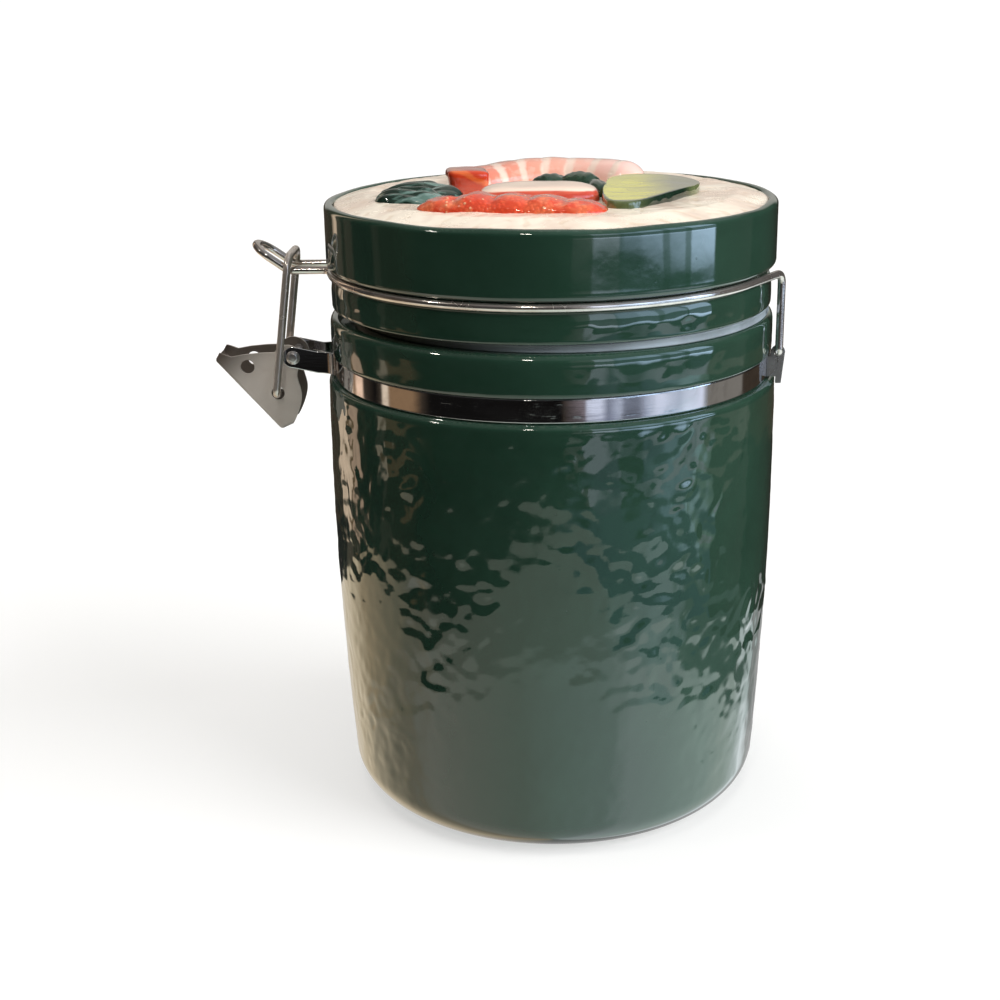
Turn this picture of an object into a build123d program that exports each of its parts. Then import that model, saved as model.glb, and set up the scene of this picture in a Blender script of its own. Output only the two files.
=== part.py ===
from build123d import *
import os
from math import acos, atan2, cos, degrees, hypot, radians, sin, sqrt

# A glazed ceramic canister whose lid is clamped by a wire bail and a pressed lever.
# Origin on the table at the centre of the jar's base, +Z up, hinge at +X, latch at -X.

# Jar body
jar_shoulder_radius = 66.7
jar_shoulder_height = 131.0
jar_belly_inset = 0.2
jar_belly_height = 70.0
jar_foot_inset = 3.6
jar_heel_fillet = 11.0
jar_shoulder_fillet = 1.5
jar_wall = 5.2
jar_floor = 6.5
jar_inner_heel_fillet = 8.0
jar_neck_slope = 12.0
band_seat_depth = 2.6
neck_ring_stand = 1.5
neck_ring_bulge = 0.6
neck_ring_height = 11.6
neck_ring_top_fillet = 3.0
neck_ring_bottom_fillet = 0.7
neck_wall = 6.6
mouth_fillet = 1.5

# Steel band round the neck, whose two ends are turned out as ears
band_height = 6.5
band_thickness = 0.6
band_side_gap = 0.35
band_seat_gap = 0.05
ear_half_gap = 6.4
ear_bend_radius = 6.5
ear_length = 12.3
ear_rise = 1.6
ear_end_radius = 3.2

# Rivet through the ears
rivet_radius = 1.5
rivet_fit = 0.05
rivet_head_radius = 2.1
rivet_head_height = 0.8

# Pressed lever, bent up from one sheet
lever_half_width = 6.2
lever_thickness = 0.8
lever_length = 28.5
lever_corner_radius = 1.2
lever_bend_radius = 1.1
lever_running_gap = 0.08
bail_hole_back = 5.3
bail_hole_drop = 11.1
bail_hole_radius = 2.0
finger_hole_back = 14.0
finger_hole_drop = 2.9
finger_hole_radius = 2.1

# Bail wire
bail_wire_radius = 1.15
bail_half_width = 9.3
bail_top_radius = 4.5
bail_foot_radius = 2.0
bail_foot_overhang = 0.9
bail_lift = 4.5
bail_lean = 0.6

# Lid wire: ring in the lid's groove, nose over the latch, two legs at the hinge
lid_wire_radius = 1.15
lid_wire_fit = 0.05
lid_wire_outset = 0.2
nose_strand = 12.2
nose_half_width = 5.8
nose_slope = 35.0
nose_length = 12.2
nose_root_bend = 3.0
nose_bend = 3.0
hinge_reach = 1.1
hinge_rise = 7.5
hinge_leg_gap = 0.15
hinge_leg_top_bend = 3.0
hinge_pin_bend = 1.5
hinge_pin_overhang = 0.9

# Hinge bracket: a folded channel spot-welded over the band
bracket_thickness = 0.8
bracket_half_width = 16.4
bracket_band_gap = 0.05
bracket_inset = 0.2
bracket_eye_radius = 2.0
bracket_pin_gap = 0.08
bracket_tail_drop = 2.0
bracket_tail_reach = 1.6
bracket_body_gap = 0.5

# Rubber gasket between jar and lid
gasket_height = 2.5
gasket_inset = 2.3
gasket_plug_gap = 0.1
gasket_lip = 0.5

# Lid shell
plug_side_gap = 4.0
plug_depth = 4.8
plug_fillet = 1.5
plug_wall = 7.0
lid_ring_inset = 1.0
lid_ring_height = 8.6
lid_ring_fillet = 2.0
lid_groove_height = 2.6
lid_flange_overhang = 1.4
lid_flange_height = 18.9
lid_flange_bottom_fillet = 1.7
lid_flange_top_fillet = 2.2
lid_rim_width = 3.8
lid_rim_inner_fillet = 1.2
lid_tray_depth = 2.1
lid_roof = 6.5
lid_hollow_fillet = 4.0

# White bed in the lid's tray
bed_gap = 0.1
bed_edge_height = 1.1
bed_height = 3.5
bed_shoulder_width = 8.1

# Raised fillings on the bed
leaf_length = 25.0
leaf_width = 17.0
leaf_height = 4.2
leaf_fillet = 2.8
roe_lump_radius = 8.6
roe_height = 4.4
slab_length = 36.0
slab_width = 15.0
slab_height = 4.5
slab_corner_radius = 3.8
chunk_length = 14.5
chunk_width = 13.0
chunk_height = 6.3
chunk_taper = 12.0
prawn_thickness = 17.0
prawn_height = 6.6
curl_radius = 8.5
curl_height = 4.6
slice_length = 30.0
slice_width = 27.0
slice_front_height = 1.6
slice_back_height = 6.6
filling_fillet = 1.5

# Cutting tools run past the material by this much
overrun = 5.0

# Two edges this close in height count as level
touch = 0.01

# Heights up the jar and the lid
band_base = jar_shoulder_height + band_side_gap
band_top = band_base + band_height
neck_ring_base = band_top + band_side_gap
rim_height = neck_ring_base + neck_ring_height
lid_base = rim_height + gasket_height
groove_base = lid_base + lid_ring_height
wire_height = groove_base + lid_groove_height / 2
flange_base = groove_base + lid_groove_height
lid_crest = flange_base + lid_flange_height
tray_height = lid_crest - lid_tray_depth
bed_top = tray_height + bed_height

# Radii of the jar
jar_foot_radius = jar_shoulder_radius - jar_foot_inset
jar_belly_radius = jar_shoulder_radius - jar_belly_inset
band_seat_radius = jar_shoulder_radius - band_seat_depth
neck_ring_radius = band_seat_radius + neck_ring_stand
mouth_radius = band_seat_radius - neck_wall

# Radii of the gasket and the lid, which sit on the neck ring
gasket_radius = neck_ring_radius - gasket_inset
plug_radius = mouth_radius - plug_side_gap
lid_hollow_radius = plug_radius - plug_wall
lid_ring_radius = neck_ring_radius - lid_ring_inset
lid_flange_radius = lid_ring_radius + lid_flange_overhang
tray_radius = lid_flange_radius - lid_rim_width
bed_radius = tray_radius - bed_gap
bed_flat_radius = bed_radius - bed_shoulder_width

# Radii of what is wrapped round the jar and the lid
band_inner_radius = band_seat_radius + band_seat_gap
band_radius = band_inner_radius + band_thickness
wire_ring_radius = lid_ring_radius + lid_wire_outset
groove_radius = wire_ring_radius - lid_wire_radius - lid_wire_fit

# Pivot of the lever, seen along Y
pivot_x = -(band_radius + ear_length)
pivot_z = band_base + band_height / 2 + ear_rise
bail_hole_x = pivot_x - bail_hole_back
bail_hole_z = pivot_z - bail_hole_drop

# Bend of the nose and the top of the bail that hooks over it
nose_x = -(wire_ring_radius + nose_strand)
bail_top_x = nose_x + bail_lean
bail_top_z = wire_height + bail_lift

# Hinge axis of the lid, and the wire's two legs that run beside the bracket's eyes
hinge_x = band_radius + hinge_reach
hinge_z = band_base + hinge_rise
hinge_leg_half_width = bracket_half_width + hinge_leg_gap + lid_wire_radius


def side_plane(x, z):
    """Sketch plane seen from the front, with its origin at a point of the side view."""
    return Plane(origin=(x, 0, z), x_dir=(1, 0, 0), z_dir=(0, -1, 0))


def rings_at(piece, height):
    """Circular edges of a turned piece at one height, the smallest first."""
    circles = piece.edges().filter_by(GeomType.CIRCLE)
    return circles.filter_by_position(Axis.Z, height - touch, height + touch).sort_by(SortBy.RADIUS)


# Jar body: outer wall, band seat and neck ring turned in one, then hollowed
with BuildPart() as jar_body:
    with BuildSketch(Plane.XZ):
        with BuildLine():
            foot = Line((0, 0), (jar_foot_radius, 0))
            side = ThreePointArc(
                foot @ 1, (jar_belly_radius, jar_belly_height), (jar_shoulder_radius, jar_shoulder_height)
            )
            ledge = Line(side @ 1, (band_seat_radius, jar_shoulder_height))
            seat = Line(ledge @ 1, (band_seat_radius, neck_ring_base))
            step = Line(seat @ 1, (neck_ring_radius - neck_ring_bulge, neck_ring_base))
            neck = ThreePointArc(
                step @ 1,
                (neck_ring_radius, (neck_ring_base + rim_height) / 2),
                (neck_ring_radius - neck_ring_bulge, rim_height),
            )
            Polyline(neck @ 1, (0, rim_height), (0, 0))
        make_face()
    revolve(axis=Axis.Z)
    fillet(rings_at(jar_body, 0)[-1], radius=jar_heel_fillet)
    fillet(rings_at(jar_body, jar_shoulder_height)[-1], radius=jar_shoulder_fillet)
    fillet(rings_at(jar_body, neck_ring_base)[-1], radius=neck_ring_bottom_fillet)
    fillet(rings_at(jar_body, rim_height)[-1], radius=neck_ring_top_fillet)
    with BuildSketch(Plane.XZ):
        with BuildLine():
            inner_foot = Line((0, jar_floor), (jar_foot_radius - jar_wall, jar_floor))
            inner_side = ThreePointArc(
                inner_foot @ 1,
                (jar_belly_radius - jar_wall, jar_belly_height),
                (jar_shoulder_radius - jar_wall, jar_shoulder_height - jar_neck_slope),
            )
            Polyline(
                inner_side @ 1,
                (mouth_radius, jar_shoulder_height),
                (mouth_radius, rim_height + overrun),
                (0, rim_height + overrun),
                (0, jar_floor),
            )
        make_face()
    revolve(axis=Axis.Z, mode=Mode.SUBTRACT)
    fillet(rings_at(jar_body, jar_floor)[-1], radius=jar_inner_heel_fillet)
    fillet(rings_at(jar_body, rim_height)[0], radius=mouth_fillet)


# Band: one strap round the neck, then the ears that carry the rivet
band_mid_radius = band_inner_radius + band_thickness / 2
ear_mid_y = ear_half_gap + band_thickness / 2
bend_centre_y = ear_mid_y + ear_bend_radius
bend_centre_x = -sqrt((band_mid_radius + ear_bend_radius) ** 2 - bend_centre_y**2)
bend_centre_angle = atan2(-bend_centre_y, bend_centre_x)
bend_start = (band_mid_radius * cos(bend_centre_angle), band_mid_radius * sin(bend_centre_angle))
# The bend's middle point looks from its centre halfway between the jar's axis and the ear
to_axis = (-bend_centre_x, bend_centre_y)
to_axis_length = hypot(to_axis[0], to_axis[1])
halfway = (to_axis[0] / to_axis_length, to_axis[1] / to_axis_length + 1)
halfway_length = hypot(halfway[0], halfway[1])
bend_middle = (
    bend_centre_x + ear_bend_radius * halfway[0] / halfway_length,
    -bend_centre_y + ear_bend_radius * halfway[1] / halfway_length,
)

with BuildPart() as neck_band:
    with BuildSketch(Plane.XY.offset(band_base)):
        with BuildLine():
            front_bend = ThreePointArc((bend_centre_x, -ear_mid_y), bend_middle, bend_start)
            strap = ThreePointArc(front_bend @ 1, (band_mid_radius, 0), (bend_start[0], -bend_start[1]))
            rear_bend = ThreePointArc(
                strap @ 1, (bend_middle[0], -bend_middle[1]), (bend_centre_x, ear_mid_y)
            )
        trace(line_width=band_thickness)
    extrude(amount=band_height)
    with BuildSketch(Plane.XZ.offset(ear_half_gap)) as ear_outline:
        with Locations((pivot_x, pivot_z)):
            Circle(ear_end_radius)
        with BuildLine():
            Line((bend_centre_x, band_base), (bend_centre_x, band_top))
        make_hull()
        with Locations((pivot_x, pivot_z)):
            Circle(rivet_radius + rivet_fit, mode=Mode.SUBTRACT)
    extrude(amount=band_thickness)
    mirror(about=Plane.XZ)


# Rivet: shank and two domed heads, turned round the pivot's axis
rivet_half_length = ear_half_gap + band_thickness
with BuildPart() as latch_rivet:
    with BuildSketch(Plane(origin=(pivot_x, 0, pivot_z), x_dir=(0, 1, 0), z_dir=(1, 0, 0))):
        with BuildLine():
            shank = Polyline(
                (0, 0), (0, rivet_radius), (rivet_half_length, rivet_radius),
                (rivet_half_length, rivet_head_radius),
            )
            head = RadiusArc(
                shank @ 1,
                (rivet_half_length + rivet_head_height, 0),
                (rivet_head_radius**2 + rivet_head_height**2) / (2 * rivet_head_height),
            )
            Line(head @ 1, shank @ 0)
        make_face()
    revolve(axis=Axis((pivot_x, 0, pivot_z), (0, 1, 0)))
    mirror(about=Plane.XZ)


# Lever: side plates and thumb face bent from one sheet
thumb_tip_shares = (-0.835, -0.035)
lever_foot_shares = (-0.175, -0.79)
lever_top_shares = [(-0.785, 0.05), (-0.66, 0.005), (-0.52, 0.03), (-0.36, 0.045), (-0.2, 0.05)]
lever_back_shares = [(0.095, -0.07), (0.03, -0.21), (0.065, -0.38), (0.035, -0.56), (-0.045, -0.73)]


def on_lever(shares):
    """Point of the lever's side view, from its shares of the lever's length."""
    return (shares[0] * lever_length, shares[1] * lever_length)


thumb_tip = on_lever(thumb_tip_shares)
lever_foot = on_lever(lever_foot_shares)
web_slope = atan2(lever_foot[1] - thumb_tip[1], lever_foot[0] - thumb_tip[0])
inward = (-sin(web_slope), cos(web_slope))
boss_radius = rivet_head_radius + lever_thickness

with BuildPart() as latch_lever:
    with BuildSketch(side_plane(pivot_x, pivot_z)) as lever_outline:
        with BuildLine():
            lever_top = Polyline(thumb_tip, *[on_lever(shares) for shares in lever_top_shares])
            ThreePointArc(
                lever_top @ 1,
                (boss_radius * cos(radians(70)), boss_radius * sin(radians(70))),
                on_lever(lever_back_shares[0]),
            )
            lever_back = Spline(*[on_lever(shares) for shares in lever_back_shares])
            Polyline(lever_back @ 1, lever_foot, thumb_tip)
        make_face()
        corners = lever_outline.vertices().group_by(Axis.X)[0] + lever_outline.vertices().group_by(Axis.Y)[0]
        fillet(corners, radius=lever_corner_radius)
    extrude(amount=lever_half_width, both=True)
    web_edges = latch_lever.edges().filter_by(GeomType.LINE).sort_by(SortBy.LENGTH)[-2:]
    fillet(web_edges, radius=lever_bend_radius)
    with BuildSketch(side_plane(pivot_x, pivot_z)):
        web_inside = [
            (
                x + lever_thickness * inward[0] + step * cos(web_slope),
                z + lever_thickness * inward[1] + step * sin(web_slope),
            )
            for (x, z), step in ((thumb_tip, -lever_length), (lever_foot, lever_length))
        ]
        far_side = [
            (x + 2 * lever_length * inward[0], z + 2 * lever_length * inward[1]) for x, z in web_inside
        ]
        with BuildLine():
            Polyline(web_inside[0], web_inside[1], far_side[1], far_side[0], close=True)
        make_face()
    extrude(amount=lever_half_width - lever_thickness, both=True, mode=Mode.SUBTRACT)
    with BuildSketch(side_plane(pivot_x, pivot_z)):
        Circle(rivet_radius + lever_running_gap)
        with Locations((-bail_hole_back, -bail_hole_drop)):
            Circle(bail_hole_radius)
        with Locations((-finger_hole_back, -finger_hole_drop)):
            Circle(finger_hole_radius)
    extrude(amount=lever_half_width + overrun, both=True, mode=Mode.SUBTRACT)


# Bail: one wire, its feet turned in through the lever, its top hooked over the nose
bail_length = hypot(bail_top_x - bail_hole_x, bail_top_z - bail_hole_z)
bail_up = ((bail_top_x - bail_hole_x) / bail_length, (bail_top_z - bail_hole_z) / bail_length)
bail_plane = Plane(
    origin=(bail_hole_x, 0, bail_hole_z),
    x_dir=(0, 1, 0),
    z_dir=Vector(0, 1, 0).cross(Vector(bail_up[0], 0, bail_up[1])),
)
bail_foot_end = lever_half_width - lever_thickness - bail_foot_overhang

with BuildPart() as bail_wire:
    with BuildLine(bail_plane) as bail_path:
        FilletPolyline(
            (-bail_foot_end, 0),
            (-bail_half_width, 0),
            (-bail_half_width, bail_length),
            (bail_half_width, bail_length),
            (bail_half_width, 0),
            (bail_foot_end, 0),
            radius=[bail_foot_radius, bail_top_radius, bail_top_radius, bail_foot_radius],
        )
    with BuildSketch(Plane(origin=bail_path.line @ 0, z_dir=bail_path.line % 0)):
        Circle(bail_wire_radius)
    sweep(path=bail_path.line)


# Lid wire: half of it is bent from the hinge pin to the tip of the nose, then mirrored
leg_distance = hypot(hinge_x, hinge_leg_half_width)
ring_start_angle = -atan2(hinge_leg_half_width, hinge_x) - acos(wire_ring_radius / leg_distance)
ring_start = (wire_ring_radius * cos(ring_start_angle), wire_ring_radius * sin(ring_start_angle))
root_y = nose_half_width + nose_root_bend
root_x = -sqrt((wire_ring_radius + nose_root_bend) ** 2 - root_y**2)
root_angle = atan2(-root_y, root_x)
ring_end = (wire_ring_radius * cos(root_angle), wire_ring_radius * sin(root_angle))
root_turn = (radians(90) + atan2(root_y, -root_x)) / 2
root_middle = (root_x + nose_root_bend * cos(root_turn), -root_y + nose_root_bend * sin(root_turn))
slope_cos = cos(radians(nose_slope))
slope_sin = sin(radians(nose_slope))
turn_start = nose_length - nose_half_width


def on_nose(along, across):
    """Point of the sloping nose, measured from its bend."""
    return (nose_x - along * slope_cos, across, wire_height + along * slope_sin)


with BuildPart() as lid_wire:
    with BuildLine() as wire_path:
        leg = FilletPolyline(
            (hinge_x, hinge_pin_overhang - bracket_half_width + bracket_thickness, hinge_z),
            (hinge_x, -hinge_leg_half_width, hinge_z),
            (hinge_x, -hinge_leg_half_width, wire_height),
            (ring_start[0], ring_start[1], wire_height),
            radius=[hinge_pin_bend, hinge_leg_top_bend],
        )
        ring = ThreePointArc(
            leg @ 1,
            (
                wire_ring_radius * cos((ring_start_angle + root_angle) / 2),
                wire_ring_radius * sin((ring_start_angle + root_angle) / 2),
                wire_height,
            ),
            (ring_end[0], ring_end[1], wire_height),
        )
        root = ThreePointArc(
            ring @ 1, (root_middle[0], root_middle[1], wire_height), (root_x, -nose_half_width, wire_height)
        )
        strand = FilletPolyline(
            root @ 1,
            (nose_x, -nose_half_width, wire_height),
            on_nose(turn_start, -nose_half_width),
            radius=[nose_bend],
        )
        ThreePointArc(
            strand @ 1,
            on_nose(turn_start + nose_half_width * cos(radians(45)), -nose_half_width * sin(radians(45))),
            on_nose(nose_length, 0),
        )
    with BuildSketch(Plane(origin=wire_path.line @ 0, z_dir=wire_path.line % 0)):
        Circle(lid_wire_radius)
    sweep(path=wire_path.line)
    mirror(about=Plane.XZ)


# Hinge bracket: a curved back on the band and two eyes for the lid wire's pins
bracket_inner_radius = band_radius + bracket_band_gap
bracket_outer_radius = bracket_inner_radius + bracket_thickness
bracket_back_base = band_base + bracket_inset
bracket_back_top = band_top - bracket_inset
eye_inner_y = bracket_half_width - bracket_thickness
eye_root_x = sqrt(bracket_inner_radius**2 - eye_inner_y**2)
eye_face_x = sqrt(jar_shoulder_radius**2 - eye_inner_y**2) + bracket_body_gap

with BuildPart() as hinge_bracket:
    with BuildSketch(Plane.XY.offset(bracket_back_base)):
        Circle(bracket_outer_radius)
        Circle(bracket_inner_radius, mode=Mode.SUBTRACT)
        with Locations((bracket_inner_radius, 0)):
            Rectangle(bracket_inner_radius, 2 * bracket_half_width, mode=Mode.INTERSECT)
    extrude(amount=bracket_back_top - bracket_back_base)
    with BuildSketch(Plane.XZ.offset(eye_inner_y)):
        with BuildLine():
            Polyline(
                (eye_root_x, bracket_back_base),
                (eye_face_x, bracket_back_base),
                (eye_face_x, bracket_back_base - bracket_tail_drop),
                (eye_face_x + bracket_tail_reach, bracket_back_base - bracket_tail_drop),
                (hinge_x + bracket_eye_radius, hinge_z),
                (hinge_x - bracket_eye_radius, hinge_z),
                (hinge_x - bracket_eye_radius, bracket_back_top),
                (eye_root_x, bracket_back_top),
                close=True,
            )
        make_face()
        with Locations((hinge_x, hinge_z)):
            Circle(bracket_eye_radius)
            Circle(lid_wire_radius + bracket_pin_gap, mode=Mode.SUBTRACT)
    extrude(amount=bracket_thickness)
    mirror(about=Plane.XZ)


# Gasket: a flat ring that fills the seam and reaches in to the plug
with BuildPart() as lid_gasket:
    with BuildSketch(Plane.XY.offset(rim_height)):
        Circle(gasket_radius)
        Circle(plug_radius + gasket_plug_gap, mode=Mode.SUBTRACT)
    extrude(amount=gasket_height)
    fillet([rings_at(lid_gasket, rim_height)[-1], rings_at(lid_gasket, lid_base)[-1]], radius=gasket_lip)


# Lid shell: plug, lower ring, wire groove and flange, hollow underneath
with BuildPart() as lid_shell:
    with BuildSketch(Plane.XZ):
        with BuildLine():
            FilletPolyline(
                (0, rim_height - plug_depth),
                (plug_radius, rim_height - plug_depth),
                (plug_radius, lid_base),
                (lid_ring_radius, lid_base),
                (lid_ring_radius, groove_base),
                (groove_radius, groove_base),
                (groove_radius, flange_base),
                (lid_flange_radius, flange_base),
                (lid_flange_radius, lid_crest),
                (tray_radius, lid_crest),
                (tray_radius, tray_height),
                (0, tray_height),
                radius=[
                    plug_fillet, 0, lid_ring_fillet, 0, 0, 0,
                    lid_flange_bottom_fillet, lid_flange_top_fillet, lid_rim_inner_fillet, 0,
                ],
            )
            Line((0, tray_height), (0, rim_height - plug_depth))
        make_face()
    revolve(axis=Axis.Z)
    with BuildSketch(Plane.XZ):
        with BuildLine():
            FilletPolyline(
                (0, tray_height - lid_roof),
                (lid_hollow_radius, tray_height - lid_roof),
                (lid_hollow_radius, rim_height - plug_depth - overrun),
                (0, rim_height - plug_depth - overrun),
                radius=[lid_hollow_fillet, 0],
            )
            Line((0, rim_height - plug_depth - overrun), (0, tray_height - lid_roof))
        make_face()
    revolve(axis=Axis.Z, mode=Mode.SUBTRACT)


# White bed: rises from the rim in a soft shoulder to a flat middle
bed_edge_top = tray_height + bed_edge_height
with BuildPart() as rice_bed:
    with BuildSketch(Plane.XZ):
        with BuildLine():
            bed_side = Polyline((0, tray_height), (bed_radius, tray_height), (bed_radius, bed_edge_top))
            bed_shoulder = ThreePointArc(
                bed_side @ 1,
                ((bed_radius + bed_flat_radius) / 2, bed_top - (bed_top - bed_edge_top) / 4),
                (bed_flat_radius, bed_top),
            )
            Polyline(bed_shoulder @ 1, (0, bed_top), (0, tray_height))
        make_face()
    revolve(axis=Axis.Z)


# Fillings, each seated on the flat of the bed at a share of its radius
bed_plane = Plane.XY.offset(bed_top)
leaf_place_shares = (-0.71, -0.22)
roe_place_shares = [(-0.52, -0.60), (-0.36, -0.65), (-0.18, -0.70), (0.0, -0.74), (0.17, -0.75)]
slab_place_shares = (-0.05, -0.36)
chunk_place_shares = (-0.45, 0.05)
prawn_path_shares = [(-0.44, 0.38), (0.0, 0.54), (0.42, 0.40)]
curl_place_shares = [(0.02, 0.04), (0.17, -0.05)]
slice_place_shares = (0.54, -0.30)


def on_bed(shares, height=bed_top):
    """Point over the bed's flat, from its shares of the flat's radius."""
    return (shares[0] * bed_flat_radius, shares[1] * bed_flat_radius, height)


roe_centre_height = bed_top - roe_lump_radius + roe_height
with BuildPart() as filling_roe:
    with Locations(*[on_bed(shares, roe_centre_height) for shares in roe_place_shares]):
        Sphere(roe_lump_radius)
    split(bisect_by=bed_plane, keep=Keep.TOP)

with BuildPart() as filling_leaf:
    with BuildSketch(bed_plane):
        with Locations(on_bed(leaf_place_shares, 0)):
            Ellipse(leaf_length / 2, leaf_width / 2)
    extrude(amount=leaf_height)
    fillet(filling_leaf.edges().group_by(Axis.Z)[-1], radius=leaf_fillet)

with BuildPart() as filling_slab:
    with BuildSketch(bed_plane):
        with Locations(on_bed(slab_place_shares, 0)):
            RectangleRounded(slab_length, slab_width, slab_corner_radius)
    extrude(amount=slab_height)
    fillet(filling_slab.edges().group_by(Axis.Z)[-1], radius=filling_fillet)
    add(filling_roe.part, mode=Mode.SUBTRACT)

with BuildPart() as filling_chunk:
    with BuildSketch(bed_plane):
        with Locations(on_bed(chunk_place_shares, 0)):
            Ellipse(chunk_length / 2, chunk_width / 2)
    extrude(amount=chunk_height, taper=chunk_taper)
    fillet(filling_chunk.edges().group_by(Axis.Z)[-1], radius=filling_fillet)
    add(filling_slab.part, mode=Mode.SUBTRACT)
    add(filling_leaf.part, mode=Mode.SUBTRACT)

prawn_radius = (prawn_thickness**2 / 4 + prawn_height**2) / (2 * prawn_height)
prawn_centre_height = bed_top - prawn_radius + prawn_height
with BuildPart() as filling_prawn:
    with BuildLine() as prawn_path:
        ThreePointArc(*[on_bed(shares, prawn_centre_height) for shares in prawn_path_shares])
    with BuildSketch(Plane(origin=prawn_path.line @ 0, z_dir=prawn_path.line % 0)):
        Circle(prawn_radius)
    sweep(path=prawn_path.line)
    with Locations(prawn_path.line @ 0, prawn_path.line @ 1):
        Sphere(prawn_radius)
    split(bisect_by=bed_plane, keep=Keep.TOP)
    add(filling_chunk.part, mode=Mode.SUBTRACT)

slice_tilt = degrees(atan2(slice_back_height - slice_front_height, slice_width))
slice_front_y = on_bed(slice_place_shares)[1] - slice_width / 2
slice_top = Plane((0, slice_front_y, bed_top + slice_front_height)).rotated((slice_tilt, 0, 0))
with BuildPart() as filling_slice:
    with BuildSketch(bed_plane):
        with Locations(on_bed(slice_place_shares, 0)):
            Ellipse(slice_length / 2, slice_width / 2)
    extrude(amount=slice_back_height + overrun)
    split(bisect_by=slice_top, keep=Keep.BOTTOM)
    add(filling_roe.part, mode=Mode.SUBTRACT)
    add(filling_slab.part, mode=Mode.SUBTRACT)
    add(filling_prawn.part, mode=Mode.SUBTRACT)

curl_centre_height = bed_top - curl_radius + curl_height
with BuildPart() as filling_curl:
    with Locations(*[on_bed(shares, curl_centre_height) for shares in curl_place_shares]):
        Sphere(curl_radius)
    split(bisect_by=bed_plane, keep=Keep.TOP)
    add(filling_slab.part, mode=Mode.SUBTRACT)
    add(filling_prawn.part, mode=Mode.SUBTRACT)
    add(filling_slice.part, mode=Mode.SUBTRACT)


pieces = {
    "jar_body": jar_body,
    "neck_band": neck_band,
    "hinge_bracket": hinge_bracket,
    "latch_rivet": latch_rivet,
    "latch_lever": latch_lever,
    "bail_wire": bail_wire,
    "lid_wire": lid_wire,
    "lid_gasket": lid_gasket,
    "lid_shell": lid_shell,
    "rice_bed": rice_bed,
    "filling_roe": filling_roe,
    "filling_leaf": filling_leaf,
    "filling_slab": filling_slab,
    "filling_chunk": filling_chunk,
    "filling_prawn": filling_prawn,
    "filling_slice": filling_slice,
    "filling_curl": filling_curl,
}
os.makedirs("parts", exist_ok=True)
for name, piece in pieces.items():
    piece.part.label = name
    export_step(piece.part, f"parts/{name}.step")
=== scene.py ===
"""A clamp-lid canister in deep green glazed ceramic, with a steel strip and wires and a relief lid.

The pieces come in the order in which such a jar is put together: body, strip, hinge, latch, gasket,
lid, lid wire, and then the relief on the lid's top. Shapes are written in millimetres and become
metres in their meshes; a material's sizes are metres. The frame is the model's own: +Z up the
jar's axis, +X to the hinge, -X to the latch, -Y to the front.
"""
import math

import bmesh
import bpy
import numpy as np
from mathutils import Matrix, Vector


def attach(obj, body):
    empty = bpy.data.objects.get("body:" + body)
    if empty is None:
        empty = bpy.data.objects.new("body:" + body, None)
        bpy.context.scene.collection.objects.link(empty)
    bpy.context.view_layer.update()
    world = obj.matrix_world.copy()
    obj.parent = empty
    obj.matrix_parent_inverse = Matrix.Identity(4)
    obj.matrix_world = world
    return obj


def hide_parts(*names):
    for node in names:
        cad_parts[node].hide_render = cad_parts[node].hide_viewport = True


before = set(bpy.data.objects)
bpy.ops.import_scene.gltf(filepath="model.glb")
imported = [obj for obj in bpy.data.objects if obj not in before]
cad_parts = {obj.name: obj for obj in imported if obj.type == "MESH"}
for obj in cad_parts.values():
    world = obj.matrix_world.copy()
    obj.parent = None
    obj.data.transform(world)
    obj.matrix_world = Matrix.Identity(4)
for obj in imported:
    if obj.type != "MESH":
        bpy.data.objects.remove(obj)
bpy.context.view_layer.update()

scene = bpy.context.scene


# Viewpoint. The jar stands on a pale surface and is looked down on by 18.6 degrees from half a
# metre, a little off square to the latch and hinge.
eye = Vector((0.0, -0.4608, 0.2434))
heading, dip, roll = math.radians(-2.0), math.radians(18.56), math.radians(-0.98)
forward = Vector((
    math.sin(heading) * math.cos(dip),
    math.cos(heading) * math.cos(dip),
    -math.sin(dip),
))
level = forward.cross(Vector((0, 0, 1))).normalized()
upright = level.cross(forward)
across = math.cos(roll) * level + math.sin(roll) * upright
over = math.cos(roll) * upright - math.sin(roll) * level
lens = bpy.data.cameras.new("Viewpoint")
lens.lens = 56.19
lens.sensor_width = 36.0
lens.clip_start = 0.01
lens.clip_end = 100.0
viewpoint = bpy.data.objects.new("Viewpoint", lens)
scene.collection.objects.link(viewpoint)
columns = Matrix((across, over, -forward)).transposed().to_4x4()
viewpoint.matrix_world = Matrix.Translation(eye) @ columns
scene.camera = viewpoint
scene.view_settings.view_transform = "Standard"


# Table and room. To the eye the table and the backdrop are plain white. In the gloss of the glaze
# and the steel the room shows: a dark wall in front, and by its bearing a window with panes and
# shaded bays to the right, tan curtains to the left and a pale table below.
def paint(red, green, blue):
    """A colour given as 0 to 255 on screen, turned into light: ((c + 0.055) / 1.055) ** 2.4."""
    screen = np.array([red, green, blue]) / 255.0
    light = np.where(screen > 0.04045, ((screen + 0.055) / 1.055) ** 2.4, screen / 12.92)
    return (*light.tolist(), 1.0)


def tone(light):
    """A colour from red, green and blue light, or a grey from one number."""
    parts = (light, light, light) if isinstance(light, (int, float)) else light
    return (*parts[:3], 1.0)


def bright(light, level):
    """The same colour at another level of light."""
    return tuple(part * level for part in light[:3])


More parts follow.
